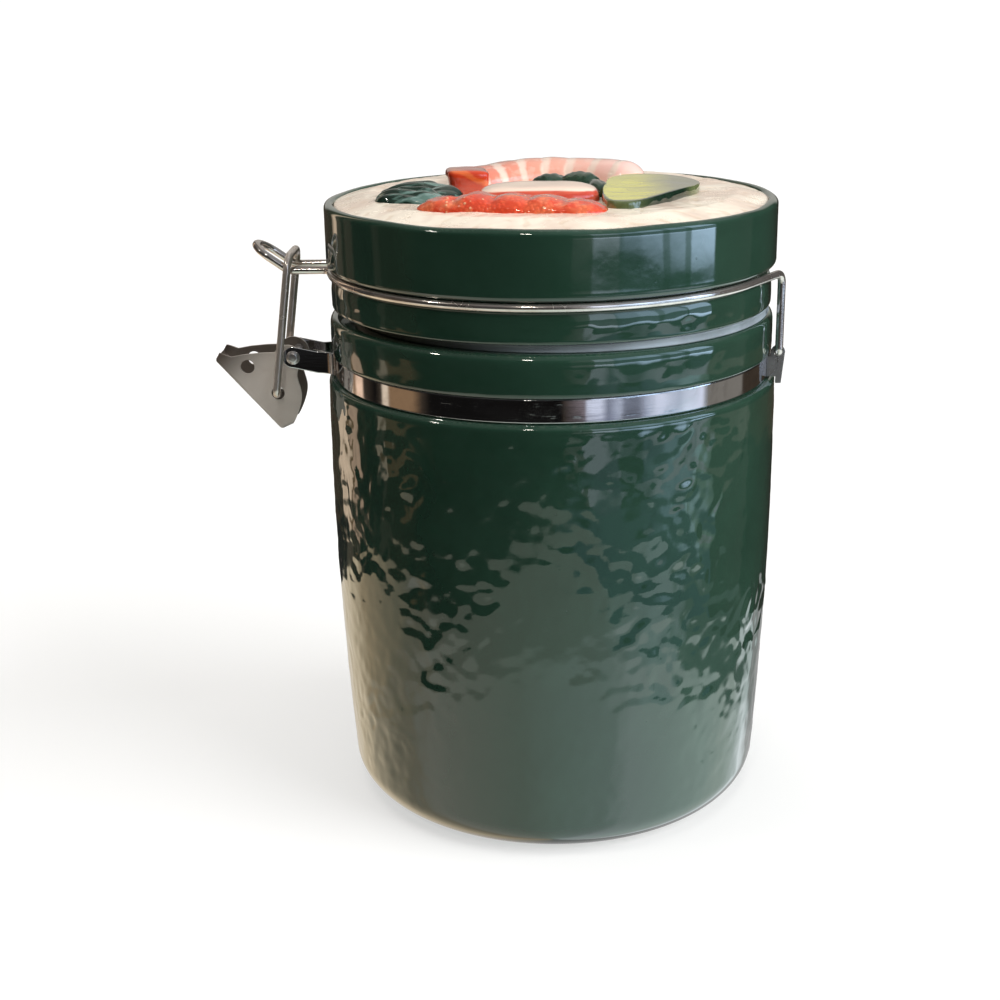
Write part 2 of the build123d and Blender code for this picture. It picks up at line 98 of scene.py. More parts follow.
class Nodes:
    """The nodes of one tree. A value in a call is a number, a colour or another node's output."""

    def __init__(self, tree):
        self.tree = tree

    def put(self, value, socket):
        """A link into the socket where value is an output, and else the socket's own value."""
        if isinstance(value, bpy.types.NodeSocket):
            self.tree.links.new(value, socket)
        else:
            socket.default_value = tone(value) if socket.type == "RGBA" else value

    def hand(self, sockets, **values):
        """Values put into sockets by name; a space in a name is written as _."""
        for key, value in values.items():
            self.put(value, sockets[key.replace("_", " ")])

    def add(self, kind, *first_inputs, **named):
        """A new node: settings and inputs by name, and its first inputs in their order."""
        made = self.tree.nodes.new("ShaderNode" + kind)
        for key, value in named.items():
            if key.replace("_", " ") in made.inputs:
                self.hand(made.inputs, **{key: value})
            else:
                setattr(made, key, value)
        for value, socket in zip(first_inputs, made.inputs):
            self.put(value, socket)
        return made

    def maths(self, operation, *values):
        """One Math node's result."""
        return self.add("Math", *values, operation=operation).outputs[0]

    def times(self, first, second, *plus):
        """First times second, plus a third where it is given."""
        return self.maths("MULTIPLY_ADD" if plus else "MULTIPLY", first, second, *plus)

    def spread(self, value, low, high, to_low=0.0, to_high=1.0, ease="SMOOTHSTEP"):
        """A Map Range node from low..high to to_low..to_high, eased at both ends."""
        made = self.add("MapRange", value, low, high, to_low, to_high, interpolation_type=ease)
        return made.outputs[0]

    def share(self, value, low, high):
        """How far value lies from low to high, with no easing."""
        return self.spread(value, low, high, ease="LINEAR")

    def blend(self, share, first, second, how="MIX"):
        """A colour Mix node."""
        made = self.add("Mix", data_type="RGBA", blend_type=how)
        for value, index in ((share, 0), (first, 6), (second, 7)):
            self.put(value, made.inputs[index])
        return made.outputs[2]

    def tint(self, colour, value, low, high, most, second):
        """The colour turned towards a second, by at most most, while value goes from low to high."""
        return self.blend(self.times(self.spread(value, low, high), most), colour, second)

    def ramp(self, share, stops):
        """A Color Ramp node through the given (place, light) stops."""
        made = self.add("ValToRGB", share)
        held = made.color_ramp.elements
        for index, (place, light) in enumerate(stops):
            stop = held[index] if index < 2 else held.new(place)
            stop.position = place
            stop.color = tone(light)
        return made.outputs[0]

    def either(self, share, first, second):
        """A Mix Shader node between two shaders."""
        return self.add("MixShader", share, first, second).outputs[0]

    def noise(self, place, scale, detail, **more):
        """A Noise Texture node's value at place."""
        return self.add("TexNoise", Vector=place, Scale=scale, Detail=detail, **more).outputs[0]

    def cells(self, place, scale, **more):
        """A Voronoi Texture node's outputs at place."""
        return self.add("TexVoronoi", Vector=place, Scale=scale, **more).outputs

    def streaks(self, place, scales, distortion, turn=0.0):
        """Noise drawn out along the sides of place, each with its own scale."""
        drawn = self.add("Mapping", Vector=place, Scale=scales, Rotation=(0.0, 0.0, turn)).outputs[0]
        return self.noise(drawn, 1.0, 3.0, Distortion=distortion)

    def axes(self, vector):
        """The x, y and z of a vector."""
        return self.add("SeparateXYZ", vector).outputs

    def stored(self, label):
        """A value kept at the mesh's points."""
        return self.add("Attribute", attribute_name=label).outputs["Fac"]


backdrop = bpy.data.worlds.new("Room")
backdrop.use_nodes = True
backdrop.node_tree.nodes.clear()
scene.world = backdrop
room = Nodes(backdrop.node_tree)
ray_x, ray_y, ray_z = room.axes(room.add("TexCoord").outputs["Generated"])
bearing = room.maths("DEGREES", room.maths("ARCTAN2", ray_x, room.times(ray_y, -1.0)))
height = room.maths("DEGREES", room.maths("ARCSINE", ray_z))
# The room's tones, and its walls by bearing: degrees from the front, left side first.
night, wood, fold = paint(14, 13, 12), paint(56, 48, 40), paint(126, 100, 74)
sand, curtain, linen = paint(206, 188, 164), paint(248, 220, 190), paint(228, 194, 166)
plaster, mauve, slate = paint(114, 110, 103), paint(122, 113, 117), paint(118, 124, 138)
haze, frame_white = paint(176, 184, 200), paint(204, 210, 226)
left_wall = [
    (-180, plaster), (-176, plaster), (-168, wood), (-142, wood), (-137, curtain), (-129, curtain),
    (-127, fold), (-125, fold), (-123, linen), (-117, linen), (-115, wood), (-104, night), (-99, wood),
    (-97.5, sand), (-94, sand), (-92.5, fold), (-76, fold), (-70, wood), (-65, night), (0, night),
]
right_wall = [
    (0, night), (5.4, night), (6.2, wood), (17, mauve), (18.2, frame_white), (25, frame_white),
    (29, slate), (35, haze), (38, slate), (45, slate), (51, haze), (56, frame_white),
    (63, frame_white), (69, haze), (74, frame_white), (84, frame_white), (88, plaster),
    (117, plaster), (118.4, wood), (165, wood), (172, plaster), (180, plaster),
]
wall_light = 1.3
left_side = room.ramp(room.share(bearing, -180, 0),
                      [((at + 180) / 180, bright(light, wall_light)) for at, light in left_wall])
right_side = room.ramp(room.share(bearing, 0, 180),
                       [(at / 180, bright(light, wall_light)) for at, light in right_wall])
# The walls are lit only at the strip's height. Above it just the outer curtain is, higher up, and
# below it just that one again for a short way.
window_end = 88.6
higher, lower = room.spread(height, -13.4, -12.8), room.spread(height, -15.6, -16.4)
outer_curtain = room.maths("MAXIMUM", room.spread(bearing, -135.0, -133.0), room.spread(height, -8.9, -9.3))
shade = room.times(higher, outer_curtain)
shade = room.maths("MAXIMUM", shade, room.times(lower, room.spread(bearing, -112.0, -108.0)))
shade = room.maths("MAXIMUM", shade, room.spread(height, -18.4, -19.4))
left_side = room.blend(room.times(shade, 0.92), left_side, 0.016)
past_window = room.maths("GREATER_THAN", bearing, window_end)
shade = room.times(room.maths("MAXIMUM", higher, lower), past_window)
right_side = room.blend(room.times(shade, 0.75), right_side, 0.012)
walls = room.blend(room.maths("GREATER_THAN", bearing, 0.0), left_side, right_side)
# The window's panes by bearing, brighter the higher they are seen, with a dim sill below them.
sky, cloud_grey, bar = (0.58, 0.78, 1.04), (0.38, 0.44, 0.53), (0.18, 0.24, 0.31)
window_share = room.share(bearing, 0, 100)
panes = room.ramp(window_share, [
    (0.0, 0.0), (0.10, 0.01), (0.11, 0.05), (0.195, 0.10), (0.205, cloud_grey), (0.325, cloud_grey),
    (0.335, bar), (0.36, bright(sky, 0.5)), (0.43, bright(sky, 0.55)), (0.46, bright(sky, 0.75)),
    (0.56, bright(sky, 0.75)), (0.57, bar), (0.60, bar), (0.61, bright(sky, 0.6)),
    (0.69, bright(sky, 0.65)), (0.70, bar), (0.725, bar), (0.735, sky), (0.875, sky), (0.885, 0.03),
    (1.0, 0.03),
])
pane_level = room.ramp(room.share(height, -13, 40), [
    (0.0, 0.14), (0.050, 0.16), (0.053, 1.2), (0.0585, 2.1), (0.0755, 3.9), (0.095, 5.4), (0.118, 6.0),
    (0.130, 0.8), (0.36, 0.6), (0.40, 3.2), (0.88, 3.2), (0.91, 0.3), (1.0, 0.3),
])
before_end = room.maths("LESS_THAN", bearing, window_end)
facing_window = room.times(room.maths("GREATER_THAN", bearing, 2.0), before_end)
above_sill = room.times(facing_window, room.maths("GREATER_THAN", height, -12.8))
walls = room.blend(above_sill, walls, room.blend(1.0, panes, pane_level, "MULTIPLY"))
# Under the sill the wall throws back some of the day, most of it on the far right.
glow = room.ramp(window_share, [
    (0.0, 0.004), (0.17, 0.012), (0.25, (0.14, 0.16, 0.24)), (0.33, (0.18, 0.20, 0.30)), (0.36, 0.03),
    (0.46, 0.03), (0.49, (0.16, 0.20, 0.32)), (0.55, (0.25, 0.36, 0.46)), (0.62, (0.48, 0.70, 0.90)),
    (0.68, (0.52, 0.74, 0.92)), (0.72, (0.85, 1.20, 1.35)), (0.80, (0.85, 1.20, 1.35)),
    (0.84, (0.40, 0.55, 0.50)), (0.886, (0.28, 0.38, 0.34)), (1.0, 0.05),
])
glow = room.blend(room.spread(height, -17.8, -20.5), glow, (0.13, 0.19, 0.25))
under_sill = room.times(facing_window, room.spread(height, -15.4, -16.2))
walls = room.blend(under_sill, walls, glow)
ceiling = room.blend(room.spread(bearing, -30, 60), (0.12, 0.115, 0.11), (0.24, 0.26, 0.28))
walls = room.blend(room.spread(height, 24, 46), walls, ceiling)
# The wall behind the jar is pale above its height: it is what lies mirrored in the lid's top.
straight_behind = room.spread(room.maths("ABSOLUTE", bearing), 152, 162)
behind = room.times(straight_behind, room.spread(height, -2, 4))
walls = room.blend(behind, walls, (0.40, 0.39, 0.36))
# The table by bearing: how far down its edge is seen, and its tones at the edge and by the foot.
round_share = room.share(bearing, -180, 180)
edge_below = room.ramp(round_share, [
    (0.0, 0.21), (0.25, 0.225), (0.31, 0.250), (0.40, 0.236), (0.445, 0.206), (0.512, 0.196),
    (0.56, 0.222), (0.60, 0.236), (0.75, 0.240), (1.0, 0.22),
])
edge_tone = room.ramp(round_share, [
    (0.0, 0.45), (0.12, (1.05, 0.88, 0.62)), (0.17, (0.85, 0.66, 0.42)), (0.25, (0.62, 0.54, 0.38)),
    (0.33, (0.50, 0.48, 0.40)), (0.45, (0.46, 0.50, 0.43)), (0.55, (0.50, 0.55, 0.50)),
    (0.61, (0.60, 0.72, 0.72)), (0.645, (0.76, 0.95, 1.0)), (0.68, (0.76, 0.95, 1.0)),
    (0.71, (0.24, 0.32, 0.30)), (0.80, (0.13, 0.17, 0.16)), (0.855, (0.13, 0.16, 0.15)),
    (0.866, (0.85, 0.95, 0.95)), (0.885, (0.75, 0.85, 0.85)), (0.90, 0.3), (1.0, 0.45),
])
foot_tone = room.ramp(round_share, [
    (0.0, 0.45), (0.12, (1.05, 0.88, 0.62)), (0.25, (0.62, 0.54, 0.40)), (0.30, (0.85, 0.82, 0.70)),
    (0.45, (0.66, 0.74, 0.64)), (0.51, (0.74, 0.90, 0.82)), (0.59, (0.84, 0.98, 0.96)),
    (0.62, (1.15, 1.28, 1.30)), (0.76, (1.10, 1.30, 1.25)), (0.81, (0.95, 1.08, 1.02)),
    (0.86, (1.0, 1.1, 1.1)), (0.88, (1.45, 1.55, 1.6)), (0.91, 0.5), (1.0, 0.45),
])
table_tone = room.blend(room.spread(height, -27.0, -28.8), edge_tone, foot_tone)
below = room.maths("SUBTRACT", room.times(edge_below, -100.0), height)
walls = room.blend(room.spread(below, 0.0, 0.3), walls, table_tone)
path = room.add("LightPath").outputs
glossy_or_clear = room.maths("MAXIMUM", path["Is Glossy Ray"], path["Is Transmission Ray"])
mirrored = room.add("Background", walls).outputs[0]
soft = room.add("Background", (1.0, 0.93, 0.82), 0.08).outputs[0]
white = room.add("Background", 1.0, 1.0).outputs[0]
lit_room = room.either(glossy_or_clear, soft, mirrored)
room.add("OutputWorld", room.either(path["Is Camera Ray"], lit_room, white))

# The table top is one flat disc: white to the eye, and light grey for the light it throws back.
table_reach, table_sides = 40.0, 96
turns = np.linspace(0, 2 * np.pi, table_sides + 1)[:-1]
rim = np.stack([table_reach * np.cos(turns), table_reach * np.sin(turns), 0 * turns], axis=1)
table_mesh = bpy.data.meshes.new("Table_Top")
table_mesh.from_pydata(rim, [], [list(range(table_sides))])
table = bpy.data.objects.new("Table_Top", table_mesh)
scene.collection.objects.link(table)
table.visible_glossy = False
top = bpy.data.materials.new("Table_White")
top.use_nodes = True
top.node_tree.nodes.clear()
nodes = Nodes(top.node_tree)
seen_by_eye = nodes.add("LightPath").outputs["Is Camera Ray"]
fleck = nodes.add("TexNoise", Scale=60.0, Detail=3.0).outputs[0]
seen = nodes.blend(fleck, 0.985, 1.0)
cloth = nodes.add("BsdfDiffuse", nodes.blend(seen_by_eye, (0.22, 0.215, 0.20), seen)).outputs[0]
pale = nodes.add("Emission").outputs[0]
nodes.add("OutputMaterial", nodes.either(nodes.times(seen_by_eye, 0.55), cloth, pale))
table_mesh.materials.append(top)


# Lamps. Even daylight from wide patches of sky, each at a plain level, and two small bright strips
# that face the lid and give each rounded edge its sparkle.
def lamp(name, kind, light, power, toward):
    """A lamp of that kind shining along toward; gives it and its object."""
    made = bpy.data.lights.new(name, kind)
    made.energy = power
    made.color = light
    holder = bpy.data.objects.new(name, made)
    scene.collection.objects.link(holder)
    holder.rotation_euler = toward.to_track_quat("-Z", "Y").to_euler()
    return made, holder


for name, source, power, wide_degrees, light in (
    ("Window_Light", (0.85, -0.30, 0.47), 1.30, 50.0, (0.98, 0.995, 1.0)),
    ("Ceiling_Light", (-0.05, 0.0, 1.0), 0.42, 40.0, (1.0, 0.985, 0.965)),
    ("Room_Light", (-0.62, 0.74, 0.30), 0.32, 60.0, (1.0, 0.90, 0.76)),
):
    sun, holder = lamp(name, "SUN", light, power * math.pi, -Vector(source))
    sun.angle = math.radians(wide_degrees)
    holder.visible_glossy = False
for name, place in (("Spot_Left", (-0.943, -0.36, 1.0)), ("Spot_Front", (-0.22, -0.98, 1.0))):
    strip_lamp, holder = lamp(name, "AREA", (1.0, 0.95, 0.84), 1.3, Vector((0, 0, 0.15)) - Vector(place))
    strip_lamp.shape = "RECTANGLE"
    strip_lamp.size = 0.10
    strip_lamp.size_y = 0.04
    holder.location = place


# Jar body. Slip-cast stoneware with a softly crumpled wall like pressed seaweed, a plain
# shoulder, a seat for the steel strip and a rolled neck, all in one thick bottle-green glaze.
mm = 0.001
draws = 4096


def eased(share):
    """A share from 0 to 1 that starts and ends softly: t * t * (3 - 2 t)."""
    return share * share * (3 - 2 * share)


def past(value, start, over):
    """How far value is past start, as a share of over, between 0 and 1."""
    return np.clip((value - start) / over, 0, 1)


def picked(order, here):
    """One random draw's number for each cell, found from the cell's whole-number place."""
    pick = order[here[..., 0] % draws]
    for axis in range(1, here.shape[-1]):
        pick = order[(pick + here[..., axis]) % draws]
    return pick


def drift(points, size, seed):
    """Smooth random drift between -1 and 1 in space: random values at the corners of cubes of the
    given size, joined by the fade t * t * (3 - 2 t) along each side."""
    cube = np.floor(points / size).astype(int)
    share = eased(points / size - cube)
    draw = np.random.default_rng(seed)
    values, order = draw.uniform(-1, 1, draws), draw.permutation(draws)
    total = np.zeros(points.shape[:-1])
    for corner in np.ndindex(2, 2, 2):
        weight = np.prod(np.where(np.array(corner) == 1, share, 1 - share), axis=-1)
        total += weight * values[picked(order, cube + np.array(corner))]
    return total


def facets(points, size, seed, crisp=6.0):
    """Crumpled facets: one jittered centre in each cube of the given size, each with a small
    random tilt; a point's height is the tilts' planes averaged by exp(-crisp * distance ** 2)."""
    scaled = points / size
    cube = np.floor(scaled).astype(int)
    draw = np.random.default_rng(seed)
    order = draw.permutation(draws)
    jitter, tilt = draw.uniform(0, 1, (draws, 3)), draw.normal(0, 1, (draws, 3))
    heights, weights = np.zeros(points.shape[:-1]), np.zeros(points.shape[:-1])
    for step in np.ndindex(3, 3, 3):
        here = cube + np.array(step) - 1
        pick = picked(order, here)
        away = scaled - here - jitter[pick]
        weight = np.exp(-crisp * np.sum(away * away, axis=-1))
        heights += weight * np.sum(away * tilt[pick], axis=-1)
        weights += weight
    return heights / weights


def skin(name, *grids, loop=False, **stored):
    """Quads over grids of points in millimetres, each row closed on itself and joined to the next.
    The last row joins the first with loop, and a row gathered in one point becomes a pole. A
    stored value is kept at the points under its name."""
    points, faces, start = [], [], 0
    for rows in grids:
        rows = np.asarray(rows, dtype=float) * mm
        index = start + np.arange(rows.shape[0] * rows.shape[1]).reshape(rows.shape[:2])
        start += index.size
        pole = np.ptp(rows, axis=1).max(axis=1) < 1e-9
        index[pole] = index[pole, :1]
        first, second = (index, np.roll(index, -1, axis=0)) if loop else (index[:-1], index[1:])
        corners = [first, np.roll(first, -1, axis=1), np.roll(second, -1, axis=1), second]
        quads = np.stack(corners, axis=-1).reshape(-1, 4)
        low, high = quads[:, 0] == quads[:, 1], quads[:, 2] == quads[:, 3]
        faces += quads[~low & ~high].tolist() + quads[low & ~high][:, [0, 2, 3]].tolist()
        faces += quads[high & ~low][:, [0, 1, 2]].tolist()
        points.append(rows.reshape(-1, 3))
    used, place = np.unique(np.concatenate([np.ravel(face) for face in faces]), return_inverse=True)
    ends = np.cumsum([len(face) for face in faces])[:-1]
    mesh = bpy.data.meshes.new(name)
    mesh.from_pydata(np.concatenate(points)[used], [], np.split(place, ends))
    mesh.shade_smooth()
    for label, values in stored.items():
        layer = mesh.attributes.new(label, "FLOAT", "POINT")
        layer.data.foreach_set("value", values.ravel()[used].astype(np.float32))
    made = bpy.data.objects.new(name, mesh)
    scene.collection.objects.link(made)
    return made


def outline(corners, step):
    """A 2-D line through (r, z, fillet) corners in mm: each corner is rounded by an arc tangent to
    both its sides, and the straights are divided so that no part is longer than step."""
    points = [np.array(corners[0][:2], float)]
    for before, (r, z, fillet), after in zip(corners[:-2], corners[1:-1], corners[2:]):
        here = np.array([r, z], float)
        back, on = np.array(before[:2]) - here, np.array(after[:2]) - here
        back, on = back / np.linalg.norm(back), on / np.linalg.norm(on)
        half = math.acos(float(np.clip(back @ on, -1, 1))) / 2
        if fillet <= 0 or half > 1.56:
            points.append(here)
            continue
        centre = here + (back + on) / np.linalg.norm(back + on) * fillet / math.sin(half)
        start = here + back * fillet / math.tan(half) - centre
        end = here + on * fillet / math.tan(half) - centre
        first, last = math.atan2(start[1], start[0]), math.atan2(end[1], end[0])
        swing = (last - first + math.pi) % (2 * math.pi) - math.pi
        angles = first + swing * np.linspace(0, 1, max(4, int(abs(swing) * fillet / step * 1.6) + 4))
        points.extend(centre + fillet * np.stack([np.cos(angles), np.sin(angles)], axis=1))
    points.append(np.array(corners[-1][:2], float))
    line = [points[0]]
    for point in points[1:]:
        start = line[-1]
        gap = np.linalg.norm(point - start)
        if gap > 1e-6:
            parts = max(1, int(math.ceil(gap / step)))
            line.extend(start + (point - start) * share for share in np.linspace(0, 1, parts + 1)[1:])
    return np.array(line)


def thinned(line, plain, every):
    """The same line with one point in every so many where plain is true; both ends stay."""
    kept = ~plain | (np.arange(len(line)) % every == 0)
    kept[[0, -1]] = True
    return line[kept]


def turned(line, around):
    """A (r, z) line turned about the jar's axis: x = r cos, y = r sin, for equal angles."""
    angles = np.linspace(0, 2 * np.pi, around + 1)[:-1]
    r, z = line[:, :1], line[:, 1:]
    return np.stack([r * np.cos(angles), r * np.sin(angles), z + 0 * angles], axis=-1)


def from_axis(points):
    """Each point's distance from the jar's axis, and the level direction away from the axis."""
    reach = np.hypot(points[..., 0], points[..., 1])
    return reach, points * [1, 1, 0] / np.maximum(reach, 1e-9)[..., None]


rim_z = 149.8
wall_heights = np.arange(14.0, 128.1, 6.0)
wall_radius = 63.1 + 0.072773 * wall_heights - 0.00034574 * wall_heights ** 2
jar_line = outline(
    [(0, 0, 0), (63.1, 0, 11.0)]
    + [(r, z, 0) for r, z in zip(wall_radius, wall_heights)]
    + [(66.7, 131, 1.6), (64.1, 131, 0.35), (64.1, 138.2, 0.3), (65.45, 138.2, 0.4), (65.55, 141, 0),
       (65.58, 144, 0), (65.55, 147, 0), (65.3, rim_z, 2.2), (57.5, rim_z, 1.5), (57.5, 131, 3.0),
       (61.5, 119, 4.0), (61.3, 70, 0), (57.9, 6.5, 8.0), (0, 6.5, 0)],
    1.2,
)
inner = np.arange(len(jar_line)) > np.argmax(jar_line[:, 1] > rim_z - 0.1) + 12
jar_line = thinned(jar_line, inner | ((jar_line[:, 1] < 0.01) & (jar_line[:, 0] < 50)), 6)
jar_points = turned(jar_line, 408)
reach, outward = from_axis(jar_points)
z = jar_points[..., 2]
outside = reach > 62.6
on_wall = eased(past(z, 4, 9) * past(129.2, z, 3.5) * outside)
# Crumpled in patches: calm in front, and rough where the window and the curtains are mirrored.
side_angle = np.degrees(np.arctan2(jar_points[..., 0], -jar_points[..., 1]))
calm = np.exp(-((side_angle + 10) / 21) ** 4)
patchy = np.clip(0.75 + 1.1 * drift(jar_points, 30, 5), 0.15, 1.5) * (1 - 0.60 * calm)
rough = np.exp(-((side_angle - 34) / 22) ** 4) + np.exp(-((side_angle + 62) / 20) ** 4)
patchy = np.maximum(patchy, 1.1 * rough * past(z, 66, 16))
stretched = jar_points * [1, 1, 0.72] + 2.2 * drift(jar_points, 9, 8)[..., None]
relief = 0.16 * drift(jar_points, 36, 1) + 0.07 * drift(jar_points, 17, 2)
relief += patchy * (0.14 * facets(stretched, 6.4, 3) + 0.105 * facets(stretched, 2.8, 4))
relief += 0.030 * facets(jar_points, 4.6, 6)
roll_on = past(z, 138.4, 2) * past(149.4, z, 1.5) * outside
soft_roll = 0.09 * drift(jar_points, 26, 11)
soft_roll = soft_roll + 0.050 * facets(jar_points, 6.0, 12) + 0.024 * facets(jar_points, 2.8, 13)
jar = skin("Jar_Body", jar_points + outward * (on_wall * relief + roll_on * soft_roll)[..., None])

VECTOR, COLOUR, NUMBER = "NodeSocketVector", "NodeSocketColor", "NodeSocketFloat"


def group(name, inputs, outputs):
    """An empty shader node group; gives it, its nodes, and the sockets that it has and gives."""
    made = bpy.data.node_groups.new(name, "ShaderNodeTree")
    for label, kind, *value in inputs:
        socket = made.interface.new_socket(label, in_out="INPUT", socket_type=kind)
        if value:
            socket.default_value = value[0]
    for label, kind in outputs:
        made.interface.new_socket(label, in_out="OUTPUT", socket_type=kind)
    have, give = made.nodes.new("NodeGroupInput").outputs, made.nodes.new("NodeGroupOutput").inputs
    return made, Nodes(made), have, give


# Kiln glaze: melted glass that clouds where it lies thick, pales on edges, and has fine pin-holes
# and a slight orange-peel skin. Sizes are metres, so one group serves every glazed piece.
kiln_glaze, nodes, have, give = group(
    "Kiln Glaze",
    [("Place", VECTOR), ("Body Colour", COLOUR), ("Thin Colour", COLOUR), ("Pooled Colour", COLOUR),
     ("Cloud Size", NUMBER, 0.02), ("Gloss", NUMBER, 0.06)],
    [("Colour", COLOUR), ("Roughness", NUMBER), ("Height", NUMBER)],
)
place, deep = have["Place"], have["Pooled Colour"]
edges = nodes.add("NewGeometry").outputs["Pointiness"]
clouds = nodes.noise(place, nodes.maths("DIVIDE", 1.0, have["Cloud Size"]), 4.0, Roughness=0.55)
colour = nodes.tint(have["Body Colour"], clouds, 0.36, 0.66, 0.55, deep)
colour = nodes.blend(nodes.spread(edges, 0.47, 0.40), colour, deep)
colour = nodes.tint(colour, edges, 0.53, 0.62, 0.75, have["Thin Colour"])
pins, rare = nodes.cells(place, 420.0)["Distance"], nodes.noise(place, 160.0, 1.0)
pin = nodes.times(nodes.spread(pins, 0.16, 0.07), nodes.spread(rare, 0.64, 0.70))
peel = nodes.noise(place, 240.0, 2.0, Roughness=0.4)
smear = nodes.noise(place, 38.0, 3.0, Distortion=0.6)
matt = nodes.times(nodes.spread(smear, 0.40, 0.72), 0.05, have["Gloss"])
nodes.hand(
    give,
    Colour=nodes.blend(nodes.times(pin, 0.5), colour, deep),
    Roughness=nodes.times(pin, 0.2, matt),
    Height=nodes.maths("SUBTRACT", peel, nodes.times(pin, 0.8)),
)

# Settled dust and finger marks: a faint pale film on upward faces and in hollows.
settled, nodes, have, give = group(
    "Settled Dust",
    [("Place", VECTOR), ("Colour", COLOUR), ("Roughness", NUMBER, 0.1), ("Amount", NUMBER, 0.2)],
    [("Colour", COLOUR), ("Roughness", NUMBER)],
)
shape = nodes.add("NewGeometry").outputs
crease = nodes.spread(shape["Pointiness"], 0.49, 0.42)
facing_up = nodes.spread(nodes.axes(shape["Normal"])[2], 0.5, 1.0)
lying = nodes.maths("MAXIMUM", nodes.times(facing_up, 0.35), crease)
motes = nodes.noise(have["Place"], 900.0, 3.0, Roughness=0.7)
film = nodes.times(nodes.times(lying, nodes.spread(motes, 0.42, 0.70)), have["Amount"])
nodes.hand(
    give,
    Colour=nodes.blend(film, have["Colour"], paint(196, 188, 176)),
    Roughness=nodes.times(film, 0.35, have["Roughness"]),
)


def finish(name, **values):
    """A material with a Principled BSDF set from values; gives it, its nodes, shader and place."""
    made = bpy.data.materials.new(name)
    made.use_nodes = True
    nodes = Nodes(made.node_tree)
    shader = made.node_tree.nodes["Principled BSDF"]
    nodes.hand(shader.inputs, **values)
    return made, nodes, shader, nodes.add("TexCoord").outputs["Object"]


def dusted(nodes, place, colour, roughness, amount):
    """The colour and the roughness with dust settled on them."""
    film = nodes.add("Group", node_tree=settled, Place=place, Colour=colour, Roughness=roughness,
                     Amount=amount).outputs
    return film["Colour"], film["Roughness"]


def joined(nodes, shader, colour, roughness, height, depth):
    """Colour, roughness and the relief of a Bump node, depth in metres, led to the shader."""
    bump = nodes.add("Bump", Height=height, Distance=depth, Strength=1.0).outputs[0]
    nodes.hand(shader.inputs, Base_Color=colour, Roughness=roughness, Normal=bump)


def glazed(name, body, thin, pooled, cloud, gloss=0.05, skin_depth=0.00002, coat=1.0, extra=None):
    """Kiln glaze in three screen colours with settled dust; extra(nodes, place, colour) may repaint
    it, and gives the colour and one more height or None."""
    made, nodes, shader, place = finish(name, IOR=1.55, Coat_Weight=coat, Coat_Roughness=0.03, Coat_IOR=1.5)
    glaze = nodes.add("Group", node_tree=kiln_glaze, Place=place, Body_Colour=paint(*body),
                      Thin_Colour=paint(*thin), Pooled_Colour=paint(*pooled), Cloud_Size=cloud,
                      Gloss=gloss).outputs
    colour, height = glaze["Colour"], glaze["Height"]
    if extra:
        colour, more = extra(nodes, place, colour)
        if more is not None:
            height = nodes.maths("ADD", height, more)
    colour, roughness = dusted(nodes, place, colour, glaze["Roughness"], 0.15)
    joined(nodes, shader, colour, roughness, height, skin_depth)
    return made


def bare_foot(nodes, place, colour):
    """The flat base is wiped clean of glaze: pale biscuit where z is under half a millimetre, with
    a speckled edge, and crumpled like the wall further up."""
    height = nodes.axes(place)[2]
    wobble = nodes.noise(place, 90.0, 2.0)
    under = nodes.spread(nodes.times(wobble, 0.0008, height), 0.0010, 0.0006)
    clay = nodes.noise(place, 1400.0, 4.0)
    biscuit = nodes.blend(clay, paint(206, 192, 168), paint(232, 222, 204))
    wall = nodes.times(nodes.spread(height, 0.006, 0.016), nodes.spread(height, 0.130, 0.126))
    nub = nodes.cells(place, 330.0, feature="SMOOTH_F1", Smoothness=0.5)["Distance"]
    patch = nodes.noise(place, 45.0, 1.0)
    fine = nodes.times(nodes.times(nub, wall), nodes.spread(patch, 0.42, 0.62))
    return nodes.blend(under, colour, biscuit), nodes.times(fine, 1.6)


bottle_green = ((40, 69, 56), (66, 96, 72), (31, 58, 46))
jar.data.materials.append(glazed("Bottle_Green_Crumpled", *bottle_green, 0.03, extra=bare_foot))
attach(jar, "jar")
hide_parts("jar_body")


# Neck strip. A polished stainless strip, 0.6 mm thick, laid in the neck's seat; its two ends turn
# out at the latch as a pair of ears that taper to a round eye at the rivet.
def arc(centre, radius, first, last, count):
    """Points on a circle in plan, from the first to the last angle in degrees."""
    angles = np.radians(np.linspace(first, last, count))
    return np.stack([centre[0] + radius * np.cos(angles), centre[1] + radius * np.sin(angles)], axis=1)


def strip_section(half_thick, edge):
    """A strip's outline as (through, up share, up) rows: four corner arcs of radius edge, and on
    each flat a row just inside both its arcs, at 0.93 of its height, that keeps it flat."""
    corners = []
    for through, up, first in ((1, 1, 0), (-1, 1, 90), (-1, -1, 180), (1, -1, 270)):
        angles = np.radians(np.linspace(first, first + 90, 4))
        corner = np.stack([
            through * (half_thick - edge) + edge * np.cos(angles),
            up + 0 * angles,
            edge * np.sin(angles) - up * edge,
        ], axis=1)
        flat = np.array([[through * half_thick, 0.93 * up, -up * edge]])
        corners.append(np.concatenate([flat, corner] if through == up else [corner, flat]))
    return np.concatenate(corners)


